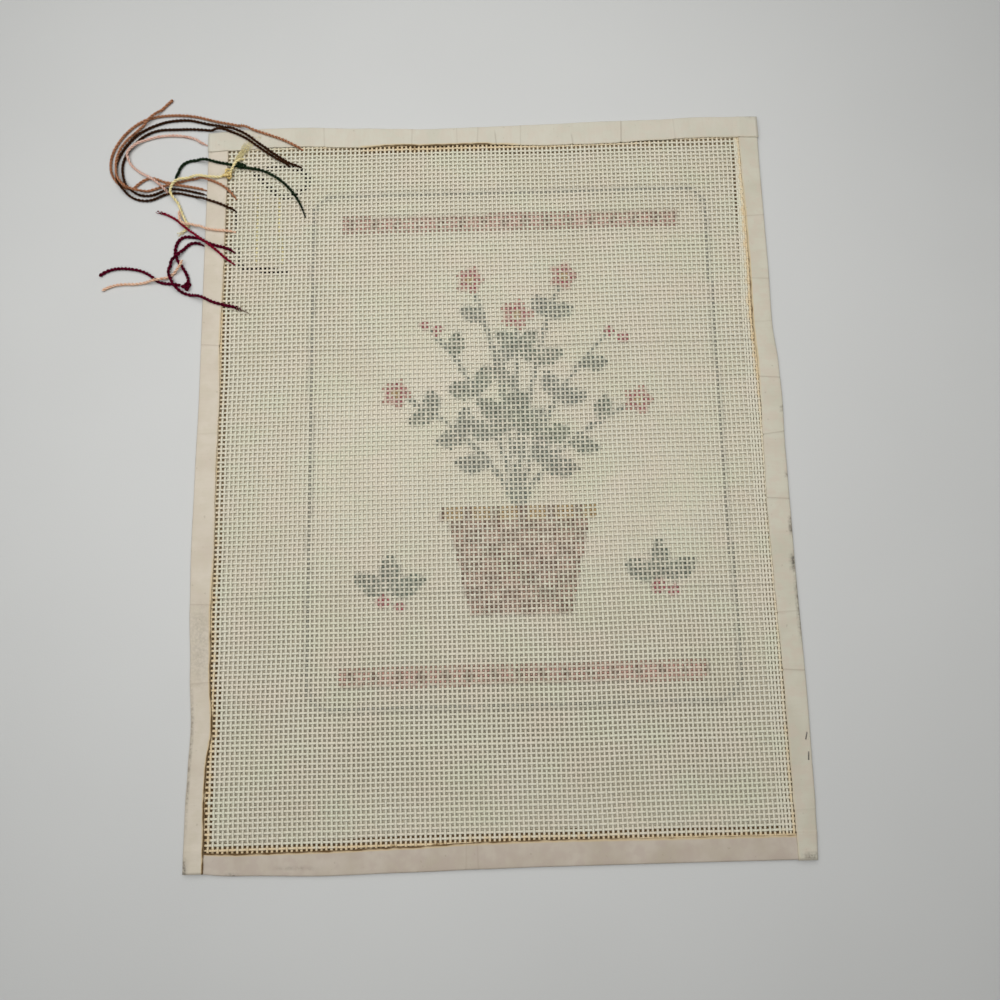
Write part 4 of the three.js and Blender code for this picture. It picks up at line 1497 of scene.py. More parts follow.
    def places(self, station: Array, inward: Array, outer: Array) -> Array:
        """Where each point lies along the side, slanted at creases and squeezed at the ends.

        Args:
            station: the place of each copy of the section.
            inward: how far in from the side each point lies.
            outer: how far in the fold lies at each copy.

        Returns:
            The place of each point along the side.
        """
        along = station + 0 * inward
        for crease in CREASES[self.side]:
            nearness = bell(station - crease.at, self.slant_span)
            along = along + nearness * crease.slant * (inward - outer - self.slant_about)
        beneath = np.arange(inward.shape[1]) > len(self.leg_shares) + len(self.fold_angles)
        for end in (-1, 1):
            start = end * (self.half_reach() - self.squeeze)
            share = np.clip((station - start) / (end * self.half_reach() - start), 0, 1)
            squeezed = start + (self.limit(end, beneath) - start) * share
            along = np.where(share > 0, squeezed + (along - station) * (1 - share), along)
        return along

    def build(self, finish: Material) -> Piece:
        """Makes the strip.

        Args:
            finish: the tape's material.

        Returns:
            The strip's object.
        """
        name = f"tape_{self.side.value}"
        station = self.stations()[:, None]
        outer, inner = self.form.edge(self.side, "outer", station), self.leg_edge(station)
        inward, height, normal_in, normal_up = self.section(station, outer, inner)
        along = self.places(station, inward, outer)
        crest = normal_up.clip(0, 1)
        height = height + crest * self.relief(station, inward - outer)
        upper, lower = (
            np.stack([along, inward + half * normal_in, height + half * normal_up], -1)
            for half in (self.thickness / 2, -self.thickness / 2)
        )
        loop = np.concatenate([upper, lower[:, ::-1]], 1)
        marks = self.marks(loop[..., 0], np.hstack([inward, inward[:, ::-1]]), station, outer)
        seen = np.concatenate([crest, 0 * crest])
        beneath = np.concatenate([0 * crest, (normal_up[::-1] < -0.5) * 1.0])
        marks = {key: value * seen for key, value in marks.items()}
        strength = row_value(GLUES[self.side], "strength", loop[..., 0])
        marks["glue"] = marks["glue"] + beneath * (0.85 + 0.85 * strength)
        if self.side in (Side.LEFT, Side.TOP):
            loop = loop[:, ::-1]
            marks = {key: value[:, ::-1] for key, value in marks.items()}
        x, y = self.form.place(self.side, loop[..., 0], loop[..., 1])
        rows, lines = loop.shape[:2]
        walls = tube_faces(1, rows, lines, self.step)[0][0]
        number = np.arange(lines // 2 - 1)
        lid = np.stack([number, number + 1, lines - 2 - number, lines - 1 - number], -1)
        lids = np.vstack([lid[:, ::-1], lid + (rows - 1) * lines])
        place = loop[..., :2].reshape(-1, 2)
        draft = MeshDraft(f"{name}_strip")
        marks = {key: value.ravel() for key, value in marks.items()}
        laid = [place[group.ravel()] for group in (walls, lids)]
        draft.add(np.stack([x, y, loop[..., 2]], -1), [walls, lids], laid, **marks)
        piece = draft.build(finish, "binding_tape", name)
        return piece

    def marks(self, along: Array, inward: Array, station: Array, outer: Array) -> dict:
        """The glue, the creases' painted shade and dirt, and the soil of each point of the strip.

        Args:
            along, inward: each point's place on the side.
            station: the place of its section before any slant.
            outer: how far in the fold lies there.

        Returns:
            One array for each mark, by name.
        """
        reach = self.form.edge(self.side, "inner", along) - inward
        strength = row_value(GLUES[self.side], "strength", along)
        glue = 0.62 * strength * (1 - smoothstep(reach, 0, 1.3 * MM))
        dark = smoothstep(strength, 0.60, 0.95) * (1 + 0.3 * wobble(along, 0.011, 91))
        glue = glue + 1.15 * dark * (1 - smoothstep(reach, 0.25 * MM, 0.85 * MM))
        crease, soil = np.zeros_like(along), np.zeros_like(along)
        # The dark crease lines, painted shade and dirt in the finish.
        for pinch in CREASES[self.side]:
            line = bell(station - pinch.at - 0.2 * MM, self.dark_line)
            there = smoothstep(inward - outer, pinch.starts, pinch.starts + 1e-3)
            crease = np.maximum(crease, pinch.dark * line * (there if pinch.starts else 1.0))
        for mark in SOILS[self.side]:
            far = ((along - mark.at) / mark.long) ** 2
            deep = ((inward - outer - 0.8 * mark.inward) / (0.8 * mark.wide)) ** 2
            soil = np.maximum(soil, mark.strength * np.exp(-(far**2) - deep))
        return {"glue": glue, "crease": crease, "soil": soil}


class EndKind(Enum):
    """How an end of yarn finishes."""

    CUT = "cut square"
    FRAYED = "frayed"
    TAPERED = "drawn out thin"
    IN_HOLE = "goes down a hole of the canvas"
    UNDER = "goes under the edge of the panel"
    IN_KNOT = "ends in a knot"


CUT, FRAYED, TAPERED, IN_HOLE, UNDER, IN_KNOT = EndKind


@dataclass(frozen=True)
class YarnPlan:
    """One end or loop of yarn: its node, finish, real length, ends and where it leaves from."""

    node: str
    wool: str
    length: float
    first: EndKind
    last: EndKind
    exit_first: bool
    far_end: str
    girth: float = 1.0


YARN_PLANS = rows_of(
    YarnPlan,
    ("yarn_rust_loop", "wool_rust", 0.1923, IN_HOLE, IN_HOLE, True, "object"),
    ("yarn_brown_loop", "wool_brown", 0.1873, IN_HOLE, IN_HOLE, True, "object"),
    ("yarn_brown_tuck", "wool_brown", 0.1535, IN_HOLE, UNDER, True, "object"),
    ("yarn_rust_tuck", "wool_rust", 0.0998, CUT, UNDER, False, "bare"),
    ("yarn_green", "wool_green", 0.0856, CUT, TAPERED, True, "bare", 1.1),
    ("yarn_pink", "wool_pink", 0.0761, FRAYED, UNDER, False, "bare"),
    ("yarn_yellow", "wool_yellow", 0.0710, IN_HOLE, FRAYED, True, "bare"),
    ("yarn_maroon_short", "wool_maroon", 0.0560, IN_HOLE, IN_KNOT, True, "knot", 1.2),
    ("yarn_maroon_tail", "wool_maroon", 0.0424, CUT, IN_KNOT, False, "bare", 1.2),
    ("yarn_peach_tail", "wool_peach", 0.0437, CUT, CUT, False, "bare"),
    ("yarn_maroon_tuck", "wool_maroon", 0.0694, FRAYED, UNDER, False, "bare", 1.2),
    ("yarn_crimson", "wool_crimson", 0.0498, FRAYED, IN_HOLE, False, "bare"),
    ("yarn_peach", "wool_peach", 0.0337, CUT, IN_HOLE, False, "bare"),
)


@dataclass(frozen=True)
class ExtraPlan:
    """A small piece of wool that goes with a yarn: its name, its yarn's node and its finish."""

    name: str
    yarn: str
    wool: str


@dataclass(frozen=True)
class KnotPlan(ExtraPlan):
    """A small knot: its place, size, stretch and direction."""

    at: Point
    size: float
    stretch: float
    turn: float


KNOT_PLANS = rows_of(
    KnotPlan,
    ("knot_green", "yarn_green", "wool_green", (-0.1198, 0.1545), 0.44 * MM, 2.0, -0.5),
    ("knot_golden", "yarn_yellow", "wool_golden", (-0.1262, 0.1499), 0.74 * MM, 1.1, 0.8),
    ("knot_pale", "yarn_yellow", "wool_yellow", (-0.1463, 0.1243), 0.44 * MM, 1.2, 1.9),
    ("knot_maroon", "yarn_maroon_short", "wool_maroon", (-0.1450, 0.0925), 0.60 * MM, 1.2, 0.4),
)


@dataclass(frozen=True)
class CaughtPlan(ExtraPlan):
    """A stretch of yarn that is caught flat between the canvas and the table; the dark ones are painted
    shade, one near-black wool in place of their own colours.
    """

    points: tuple[Point, ...]
    wide: float = 2.4


@dataclass(frozen=True)
class WispPlan(ExtraPlan):
    """Loose fibres drawn out beyond an end of yarn: their course, number and spread."""

    points: tuple[Point, ...]
    fibres: int
    wide: float


WISP_PLANS = (
    WispPlan(
        "wisp_yellow", "yarn_yellow", "wool_yellow",
        ((-0.1253, 0.1512), (-0.1216, 0.1590), (-0.1180, 0.1640), (-0.1124, 0.1699)), 60, 2.1 * MM,
    ),
    WispPlan(
        "wisp_grey", "yarn_maroon_tuck", "wool_grey",
        ((-0.1205, 0.0812), (-0.1184, 0.0798), (-0.1160, 0.0786), (-0.1132, 0.0770)), 16, 0.32 * MM,
    ),
)

# The green, crimson and brown stretches take a near-black wool, painted shade for the dark beneath the
# canvas.
CAUGHT_PLANS = (
    CaughtPlan(
        "caught_green", "yarn_green", "wool_dark",
        (
            (-0.1141, 0.1514), (-0.1101, 0.1475), (-0.1055, 0.1431), (-0.1015, 0.1387),
            (-0.0951, 0.1388), (-0.0913, 0.1411), (-0.0888, 0.1432), (-0.0869, 0.1463),
            (-0.0890, 0.1507), (-0.0954, 0.1541), (-0.1078, 0.1539),
        ),
    ),
    CaughtPlan(
        "caught_crimson", "yarn_crimson", "wool_dark",
        (
            (-0.1215, 0.1029), (-0.1193, 0.1026), (-0.1173, 0.1012), (-0.1112, 0.1005),
            (-0.1050, 0.0998), (-0.0958, 0.0989),
        ),
    ),
    CaughtPlan(
        "caught_yellow_left", "yarn_yellow", "wool_yellow",
        ((-0.1128, 0.1415), (-0.1124, 0.1300), (-0.1118, 0.1160), (-0.1113, 0.1036)), 1.9,
    ),
    CaughtPlan(
        "caught_yellow_right", "yarn_yellow", "wool_yellow",
        ((-0.1020, 0.1412), (-0.1010, 0.1290), (-0.1000, 0.1150), (-0.0992, 0.1033)), 1.9,
    ),
    CaughtPlan(
        "caught_brown", "yarn_brown_loop", "wool_dark",
        ((-0.1223, 0.1309), (-0.1219, 0.1230), (-0.1210, 0.1130), (-0.1202, 0.1032)), 1.0,
    ),
)


@dataclass
class WoolYarn:
    """Two plies of wool twisted round each other along a line, with loose fibres."""

    ply_radius: float = 0.37 * MM
    helix_radius: float = 0.35 * MM
    turn: float = 3.6 * MM
    ring: float = 0.42 * MM
    sides: int = 7
    hairs_a_metre: float = 1500.0
    hair_floor: float = 0.06 * MM
    hair_radii: tuple[float, ...] = (0.045 * MM, 0.032 * MM, 0.012 * MM)

    def frames(self, line: Array) -> tuple[Array, Array, Array]:
        """Directions along a line and two across it that turn as little as can be.

        Args:
            line: the points, one row each.

        Returns:
            The direction ahead and the two across it, one row for each point.
        """
        ahead = unit(np.gradient(line, axis=0))
        across = np.zeros_like(ahead)
        guide = np.array([0, 0, 1.0])
        for index, direction in enumerate(ahead):
            guide = guide - direction * guide.dot(direction)
            guide = guide / np.linalg.norm(guide)
            across[index] = guide
        return ahead, across, np.cross(ahead, across)

    def add(
        self,
        draft: MeshDraft,
        line: Array,
        thick: Array,
        spread: Array,
        flat: float,
        rng: np.random.Generator,
    ) -> None:
        """Adds both plies and their loose fibres.

        Args:
            draft: the mesh to add to.
            line: points one ring apart.
            thick: how thick each ply is along the line, as a share.
            spread: how far the plies stand from the line, as a share.
            flat: how far the yarn is pressed flat, as a share of its height.
            rng: where the small differences come from.
        """
        _, across, aside = self.frames(line)
        along = np.arange(len(line)) * self.ring
        phase = 2 * math.pi * (along / self.turn) + 0.5 * wobble(along, 0.02, int(rng.integers(1, 999)))
        start = rng.uniform(0, 2 * math.pi)
        turn = np.linspace(0, 2 * math.pi, self.sides, endpoint=False)
        for ply in (0, 1):
            angle = (phase + start + ply * math.pi)[:, None]
            radial = np.cos(angle) * across + np.sin(angle) * aside
            centre = line + radial * (self.helix_radius * spread)[:, None]
            plump = 1 + 0.08 * wobble(along, 0.006, int(rng.integers(1, 999)))
            forward = unit(np.gradient(centre, axis=0))
            out = unit(radial - forward * np.sum(radial * forward, 1)[:, None])
            size = (self.ply_radius * thick * plump)[:, None, None]
            points = centre[:, None] + rings_round(out, np.cross(forward, out), self.sides) * size
            points[..., 2] = line[:, None, 2] + (points[..., 2] - line[:, None, 2]) * flat
            points[..., 2] = np.maximum(points[..., 2], 0.03 * MM)
            faces, laid = tube_faces(1, len(line), self.sides, self.ring)
            # Painted shade between the plies: 0 on the ply's outer side, 1 on the side that faces the other
            # ply.
            painted_ply_shade = np.broadcast_to((1 - np.cos(turn)) / 2, points.shape[:2])
            draft.add(points, faces, laid, painted_ply_shade=painted_ply_shade.ravel() ** 1.5)
        self.add_hairs(draft, line, spread * thick, flat, rng)

    def add_hairs(
        self,
        draft: MeshDraft,
        line: Array,
        size: Array,
        flat: float,
        rng: np.random.Generator,
    ) -> None:
        """Adds loose fibres, each a thin bent three-sided tube.

        Args:
            draft: the mesh that is being built.
            line: the yarn's middle line.
            size: how thick the yarn is at each point, as a share of its usual thickness.
            flat: how far the yarn is pressed flat, as a share of its height.
            rng: the source of random draws.
        """
        count = int(len(line) * self.ring * self.hairs_a_metre)
        if not count:
            return
        ahead, across, aside = self.frames(line)
        at = rng.integers(1, len(line) - 1, count)
        angle = rng.uniform(0, 2 * math.pi, count)[:, None]
        out = np.cos(angle) * across[at] + np.sin(angle) * aside[at]
        out[:, 2] = np.abs(out[:, 2]) * 0.8
        lean = ahead[at] * rng.normal(0, 1.0, count)[:, None]
        root = line[at] + out * (0.62 * MM * np.clip(size[at], 0.3, 1.6))[:, None] * flat
        length = rng.uniform(0.35, 1.25, count)[:, None] * MM
        curl = rng.normal(0, 0.35, (count, 3)) * MM * 0.5
        middle = root + (out * 0.6 + lean * 0.5) * length * 0.5 + curl * 0.4
        tip = middle + (out * 0.25 + lean * 0.8) * length * 0.5 + curl
        spine = np.stack([root, middle, tip], 1)
        spine[..., 2] = np.maximum(spine[..., 2], self.hair_floor)
        going = spine[:, 2] - spine[:, 0]
        going = going / np.maximum(np.linalg.norm(going, axis=1), 1e-9)[:, None]
        first = unit(np.cross(going, rng.normal(0, 1, (count, 3))))
        ring = rings_round(first, np.cross(going, first), 3)
        width = np.array(self.hair_radii)[None, :, None, None]
        faces, laid = tube_faces(count, 3, 3, 0.5 * MM)
        draft.add(spine[:, :, None, :] + ring[:, None] * width, faces, laid, painted_ply_shade=np.zeros(count * 9))


@dataclass
class YarnBundle:
    """The loose wool at the upper left corner, laid one length after another."""

    form: PanelForm
    finishes: dict[str, Material]
    yarn: WoolYarn = field(default_factory=WoolYarn)
    radius: float = 0.8 * MM
    rest_gap: float = -0.04 * MM
    over_yarn: float = 1.35 * MM
    lay_step: float = 1.0 * MM
    hump_bend: float = 55.0
    tucked: float = 2.6 * MM
    caught_height: float = 0.30 * MM
    wisp_fibre: float = 0.05 * MM
    laid: list[Array] = field(default_factory=list)
    lines: dict[str, Array] = field(default_factory=dict)
    slots: dict[str, str] = field(default_factory=lambda: {plan.node: plan.wool for plan in YARN_PLANS})

    def support(self, x: Array, y: Array) -> Array:
        """The height of the middle of a yarn that lies on the table, the tape or the canvas.

        Args:
            x, y: the places, in metres from the panel's middle.

        Returns:
            Heights above the table, in metres.
        """
        inside = np.full_like(x, np.inf)
        fold = np.full_like(x, np.inf)
        for side in Side:
            inside = np.minimum(inside, self.form.from_tape(side, x, y, "inner"))
            fold = np.minimum(fold, self.form.from_tape(side, x, y, "outer"))
        lap = self.form.from_tape(Side.LEFT, x, y, "inner") < 0
        lap = lap & (self.form.from_tape(Side.TOP, x, y, "inner") < 0)
        tape = self.form.tape_top + self.radius + self.rest_gap + np.where(lap, 0.4 * MM, 0)
        canvas = self.form.mesh_height(x, y) + 0.45 * MM + self.radius
        height = np.where(inside > 0, canvas, tape)
        return np.where(fold > -0.6 * MM, height, self.radius + self.rest_gap)

    def lay(self, route: tuple, first: EndKind, last: EndKind) -> Array:
        """Lays a yarn on what is below it, in long low humps over what it crosses.

        Args:
            route: the places that it passes over.
            first, last: how its ends finish.

        Returns:
            The points of its middle line, one lay step apart.
        """
        flat = smooth_line(np.column_stack([np.array(route), np.zeros(len(route))]), self.lay_step)
        need = self.support(flat[:, 0], flat[:, 1])
        for kind, end in ((first, 0), (last, -1)):
            if kind is UNDER:
                near = np.linalg.norm(flat - flat[end], axis=1) < self.tucked
                need = np.where(near, self.radius + self.rest_gap, need)
        if self.laid:
            others = np.concatenate(self.laid)
            apart = np.hypot(*(flat[:, None, axis] - others[None, :, axis] for axis in (0, 1)))
            above = others[None, :, 2] + np.sqrt(np.maximum(self.over_yarn**2 - apart**2, 0))
            need = np.maximum(need, np.where(apart < self.over_yarn, above, 0).max(1))
        along = np.arange(len(flat)) * self.lay_step
        hump = need[None, :] - self.hump_bend * (along[:, None] - along[None, :]) ** 2
        flat[:, 2] = hump.max(1)
        self.laid.append(flat.copy())
        return flat

    def end_shape(self, kind: EndKind, away: Array) -> tuple[Array, Array, Array]:
        """How a yarn changes towards one end.

        Args:
            kind: how the end finishes.
            away: each point's distance from the end.

        Returns:
            Shares of the plies' thickness and spread, and how far the line goes down.
        """
        ones, none = np.ones_like(away), np.zeros_like(away)
        if kind is CUT:
            return 0.72 + 0.28 * smoothstep(away, 0, 0.8 * MM), ones, none
        if kind is FRAYED:
            open_out = 1 - smoothstep(away, 0, 5 * MM)
            return 1 - 0.62 * open_out, 1 + 1.1 * open_out, none
        if kind is TAPERED:
            drawn = smoothstep(away, 0, 13 * MM)
            return 0.45 + 0.55 * drawn, 0.62 + 0.38 * drawn, (1 - drawn) * 0.32 * MM
        if kind is IN_HOLE:
            sunk = 1 - smoothstep(away, 0, 3.2 * MM)
            return 1 - 0.35 * sunk, 1 - 0.4 * sunk, sunk * 1.15 * MM
        if kind is UNDER:
            pressed = 1 - smoothstep(away, 0, 3.0 * MM)
            return 1 - 0.5 * pressed, 1 - 0.55 * pressed, pressed * 0.42 * MM
        return ones, 0.6 + 0.4 * smoothstep(away, 0, 1.5 * MM), none

    def build_yarn(self, number: int, plan: YarnPlan) -> Piece:
        """Lays one yarn and makes its mesh.

        Args:
            number: its place in the order of laying.
            plan: what it is.

        Returns:
            The yarn's object.
        """
        rng = np.random.default_rng(300 + number)
        middle = self.lay(YARN_ROUTES[plan.node], plan.first, plan.last)
        line = evenly(smooth_line(middle, self.yarn.ring), self.yarn.ring)
        thick, spread = np.full(len(line), plan.girth), np.full(len(line), plan.girth)
        along = np.arange(len(line)) * self.yarn.ring
        for kind, away in ((plan.first, along), (plan.last, along[-1] - along)):
            thin, wide, down = self.end_shape(kind, away)
            thick, spread = thick * thin, spread * wide
            line[:, 2] = line[:, 2] - down
        self.lines[plan.node] = line
        draft = MeshDraft(f"{plan.node}_wool")
        self.yarn.add(draft, line, thick, spread, 1.0, rng)
        return draft.build(self.finishes[plan.wool], plan.wool, plan.node)

    def build_knot(self, plan: KnotPlan) -> Piece:
        """Makes one knot, a trefoil of the same yarn pulled tight.

        Args:
            plan: what it is.

        Returns:
            The knot's object.
        """
        line = self.lines[plan.yarn]
        nearest = line[np.argmin(np.hypot(line[:, 0] - plan.at[0], line[:, 1] - plan.at[1]))]
        turn = np.linspace(0, 2 * math.pi, 160)
        x, y = np.sin(turn) + 2 * np.sin(2 * turn), np.cos(turn) - 2 * np.cos(2 * turn)
        ring = np.stack([x, y, -1.1 * np.sin(3 * turn)], 1)
        ring = ring * plan.size * np.array([plan.stretch, 1.0, 1.0])
        twist = np.array(Matrix.Rotation(plan.turn, 3, "Z"))
        centre = np.array([*plan.at, nearest[2] + 0.35 * MM])
        path = evenly(ring @ twist.T + centre, self.yarn.ring * 0.8)
        draft = MeshDraft(plan.name)
        full = np.full(len(path), 0.86)
        fuzzy = replace(self.yarn, hairs_a_metre=4200.0)
        fuzzy.add(draft, path, full, full * 0.85, 1.0, np.random.default_rng(500 + len(plan.name)))
        return self.finished(draft, plan)

    def finished(self, draft: MeshDraft, plan: ExtraPlan) -> Piece:
        """Makes the object of a knot, caught stretch or wisp, with its finish."""
        return draft.build(self.finishes[plan.wool], self.slots[plan.yarn])

    def build_caught(self, plan: CaughtPlan) -> Piece:
        """Makes one stretch of yarn that is pressed flat under the canvas.

        Args:
            plan: what it is.

        Returns:
            The yarn's object.
        """
        path = smooth_line(np.array([(x, y, self.caught_height) for x, y in plan.points]), self.yarn.ring)
        draft = MeshDraft(plan.name)
        full = np.full(len(path), plan.wide)
        rng = np.random.default_rng(600 + len(plan.name))
        self.yarn.add(draft, path, full * 0.8, full, 0.36 / plan.wide, rng)
        return self.finished(draft, plan)

    def build_wisp(self, plan: WispPlan) -> Piece:
        """Makes the loose fibres beyond one end of yarn.

        Args:
            plan: what they are.

        Returns:
            The fibres' object.
        """
        rng = np.random.default_rng(700 + len(plan.name))
        course = smooth_line(np.array([(x, y, 0.0) for x, y in plan.points]), self.yarn.ring)
        course = evenly(course, self.yarn.ring)
        level = self.support(course[:, 0], course[:, 1]) - self.radius + 0.12 * MM
        level = np.maximum(level, self.crests(level))
        draft = MeshDraft(plan.name)
        for _ in range(plan.fibres):
            first = rng.integers(0, len(course) // 2)
            last = rng.integers(min(first + 8, len(course) - 2), len(course))
            line = course[first:last].copy()
            along = np.linspace(first, last, len(line)) / len(course)
            spread = plan.wide * (0.35 + 0.9 * along)
            for axis in (0, 1):
                aside = rng.normal(0, 0.5)
                line[:, axis] += spread * (aside + 0.5 * wobble(along, 0.4, int(rng.integers(1, 999))))
            line[:, 2] = level[first:last] + rng.uniform(0, 0.5 * MM)
            ring = rings_round(*self.yarn.frames(line)[1:], 3)
            faces, laid = tube_faces(1, len(line), 3, self.yarn.ring)
            draft.add(line[:, None] + ring * self.wisp_fibre, faces, laid, painted_ply_shade=np.zeros(3 * len(line)))
        return self.finished(draft, plan)

    def crests(self, level: Array) -> Array:
        """The highest level near each place, so that fibres bridge the hollows between."""
        return np.array([level[max(0, at - 4) : at + 5].max() for at in range(len(level))])

    def build(self) -> list[Piece]:
        """Lays all the yarns, ties the knots and makes the caught stretches and wisps.

        Returns:
            Every yarn, knot, caught end and wisp.
        """
        yarns = {plan.node: self.build_yarn(n, plan) for n, plan in enumerate(YARN_PLANS)}
        extras: dict[str, list[Piece]] = {node: [] for node in yarns}
        for plans, make in (
            (KNOT_PLANS, self.build_knot),
            (CAUGHT_PLANS, self.build_caught),
            (WISP_PLANS, self.build_wisp),
        ):
            for plan in plans:
                extras[plan.yarn].append(make(plan))
        return list(yarns.values()) + [piece for group in extras.values() for piece in group]


@dataclass
class Staple:
    """The two bent legs of a wire staple that show in the right tape, and its crown beneath."""

    wire: float = 0.25 * MM
    legs: tuple = (
        ((0.1346, -0.1220), (0.1338, -0.1249)),
        ((0.1343, -0.1333), (0.1346, -0.1299)),
    )
    top: float = 1.96 * MM

    def rod(self, start: Vector, end: Vector) -> Piece:
        """Makes one straight stretch of wire with softened ends.

        Args:
            start: the middle of one end.
            end: the middle of the other.

        Returns:
            The stretch of wire.
        """
        deselect()
        middle, going = (start + end) / 2, end - start
        bpy.ops.mesh.primitive_cylinder_add(
            vertices=12, radius=self.wire, depth=going.length, location=middle
        )
        rod = bpy.context.object
        rod.rotation_euler = going.to_track_quat("Z", "Y").to_euler()
        bpy.ops.object.transform_apply(location=True, rotation=True, scale=True)
        bpy.ops.object.mode_set(mode="EDIT")
        bpy.ops.mesh.select_all(action="SELECT")
        bpy.ops.mesh.bevel(offset=self.wire * 0.35, segments=2, affect="EDGES")
        bpy.ops.object.mode_set(mode="OBJECT")
        return rod

    def build(self, finish: Material) -> Piece:
        """Makes the staple.

        Args:
            finish: the steel's material.

        Returns:
            The staple's object.
        """
        rods = []
        for (x, y), (tip_x, tip_y) in self.legs:
            rods.append(self.rod(Vector((x, y, self.top)), Vector((tip_x, tip_y, self.top - 0.05 * MM))))
            rods.append(self.rod(Vector((x, y, 0.3 * MM)), Vector((x, y, self.top))))
        (x, y), (far_x, far_y) = self.legs[0][0], self.legs[1][0]
        level = self.wire + 0.02 * MM
        rods.append(self.rod(Vector((x, y, level)), Vector((far_x, far_y, level))))
        deselect()
        for rod in rods:
            rod.select_set(True)
        bpy.context.view_layer.objects.active = rods[0]
        bpy.ops.object.join()
        piece = bpy.context.object
        piece.name = "staple_in_tape"
        piece.data.materials.clear()
        piece.data.materials.append(finish)
        bpy.ops.object.shade_smooth_by_angle(angle=math.radians(40))
        deselect()
        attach(piece, "root")
        return piece


def deselect() -> None:
    """Leaves nothing selected, in object mode."""
    if bpy.context.object and bpy.context.object.mode != "OBJECT":
        bpy.ops.object.mode_set(mode="OBJECT")
    bpy.ops.object.select_all(action="DESELECT")


@dataclass
class Studio:
    """The camera over the panel, the pale table and the soft light."""

    focal: float = 25.137
    sensor: float = 36.0
    stands: tuple = (0.00317, -0.06468, 0.31828)
    right: tuple = (0.99964701, -0.02644585, -0.00254295)
    up: tuple = (0.02652506, 0.98802635, 0.15198798)
    forward: tuple = (0.00150695, 0.15200179, -0.98837907)
    table_size: float = 3.0

    def add(self, name: str, data: bpy.types.ID, place: tuple, turn: Matrix) -> Piece:
        """Adds a camera or lamp at a place, turned by a matrix.

        Args:
            name: the object's name.
            data: the camera or lamp that it shows.
            place: where it stands.
            turn: how it is turned.

        Returns:
            The new object.
        """
        made = bpy.data.objects.new(name, data)
        made.matrix_world = Matrix.Translation(place) @ turn.to_4x4()
        bpy.context.scene.collection.objects.link(made)
        return made

    def camera(self) -> None:
        """Sets the camera at the photograph's angle."""
        lens = bpy.data.cameras.new("camera")
        lens.lens, lens.sensor_width, lens.sensor_fit = self.focal, self.sensor, "HORIZONTAL"
        lens.clip_start, lens.clip_end = 0.01, 20
        axes = Matrix((self.right, self.up, tuple(-value for value in self.forward))).transposed()
        bpy.context.scene.camera = self.add("camera", lens, self.stands, axes)

    def table(self, finish: Material) -> None:
        """Adds the table top.

        Args:
            finish: what the table top is made of.
        """
        deselect()
        bpy.ops.mesh.primitive_plane_add(size=self.table_size, location=(0, 0, 0))
        table = bpy.context.object
        table.name = "table_top"
        table.data.materials.append(finish)
        deselect()

    def area(self, name: str, place: tuple, size: float, power: float, colour: tuple) -> None:
        """Adds a square soft light that faces the panel.

        Args:
            name: the lamp's name.
            place: where it stands.
            size: the length of its sides, in metres.
            power: in watts.
            colour: its tint, as red, green and blue.
        """
        lamp = bpy.data.lights.new(name, "AREA")
        lamp.shape, lamp.size, lamp.energy, lamp.color = "SQUARE", size, power, colour
        self.add(name, lamp, place, (-Vector(place)).to_track_quat("-Z", "Y").to_matrix())

    def light(self) -> None:
        """Adds the lights, the pale surroundings and the plain view of them."""
        self.area("key", (-0.04, 0.085, 0.44), 0.70, 3.10, (1.0, 0.994, 0.98))
        self.area("fill", (-0.6, 0.1, 1.2), 1.0, 2.2, (1.0, 1.0, 0.99))
        world = bpy.data.worlds.new("surroundings")
        world.use_nodes = True
        background = world.node_tree.nodes["Background"]
        background.inputs["Color"].default_value = (1.0, 1.0, 0.985, 1.0)
        background.inputs["Strength"].default_value = 0.17
        bpy.context.scene.world = world
        bpy.context.scene.view_settings.view_transform = "Standard"


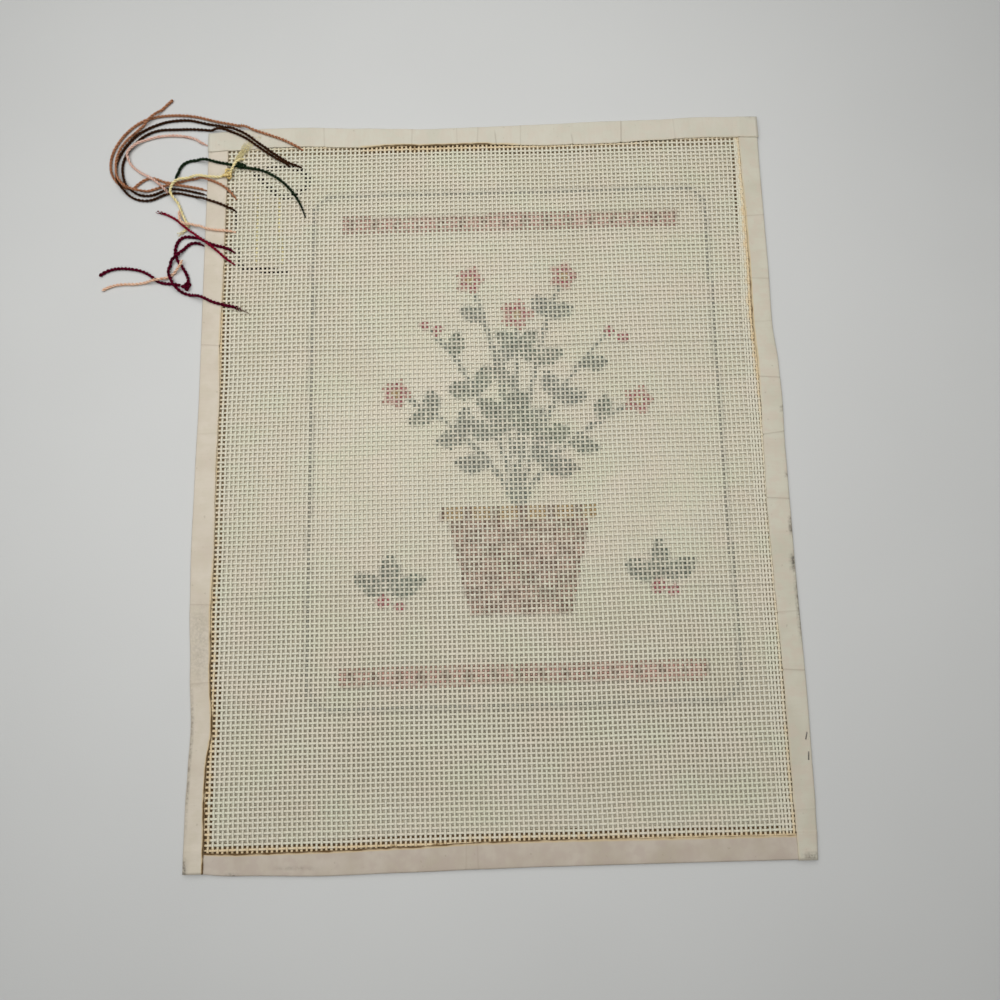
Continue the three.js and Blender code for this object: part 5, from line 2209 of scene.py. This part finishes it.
WOOLS = tuple(
    WoolFinish(name, *(srgb(*colour) for colour in colours))
    for name, *colours in (
        ("wool_rust", (168, 114, 82), (206, 160, 128), (104, 62, 38)),
        ("wool_brown", (48, 26, 12), (88, 54, 32), (16, 8, 4)),
        ("wool_green", (20, 36, 20), (44, 64, 38), (6, 10, 6)),
        ("wool_pink", (222, 186, 170), (238, 212, 198), (190, 142, 124)),
        ("wool_yellow", (234, 221, 168), (244, 236, 200), (214, 194, 128)),
        ("wool_maroon", (78, 0, 26), (114, 12, 46), (32, 0, 8)),
        ("wool_golden", (226, 202, 134), (242, 226, 178), (194, 160, 88)),
        # Painted shade: a near-black wool for the yarns that lie in the dark beneath the canvas.
        ("wool_dark", (26, 14, 10), (48, 30, 22), (8, 4, 2)),
        ("wool_grey", (150, 132, 116), (176, 160, 142), (112, 94, 80)),
        ("wool_peach", (226, 188, 160), (242, 214, 194), (200, 150, 118)),
        ("wool_crimson", (120, 8, 36), (164, 40, 66), (66, 0, 16)),
    )
)

TAPE_FINISHES = {
    side: TapeFinish(f"tape_{side.value}_cotton", *(srgb(*colour) for colour in colours))
    for side, *colours in (
        (Side.TOP, (193, 189, 175), (186, 183, 168), (194, 184, 170)),
        (Side.LEFT, (197, 188, 173), (188, 177, 161), (190, 182, 164)),
        (Side.RIGHT, (192, 188, 172), (183, 179, 162), (192, 179, 164)),
        (Side.BOTTOM, (183, 173, 160), (171, 160, 144), (173, 159, 149)),
    )
}


def main() -> None:
    """Builds the scene in order and reports each piece."""
    studio = Studio()
    studio.camera()
    form = PanelForm()
    pieces = YarnBundle(form, {wool.name: wool.material() for wool in WOOLS}).build()
    weave = Weave(form, PaintedDesign())
    cotton = CanvasFinish().material()
    pieces += [weave.band(number, cotton) for number in range(len(weave.row_bands) - 1)]
    pieces.append(weave.film(PaintFilmFinish().material()))
    pieces += [Tape(form, side).build(TAPE_FINISHES[side].material()) for side in Side]
    pieces.append(Staple().build(StapleFinish().material()))
    for piece in pieces:
        LOG.info("%s: %d faces", piece.name, len(piece.data.polygons))
    studio.table(FloorFinish().material())
    studio.light()


if __name__ == "__main__":
    logging.basicConfig(level=logging.INFO, format="%(message)s")
    main()
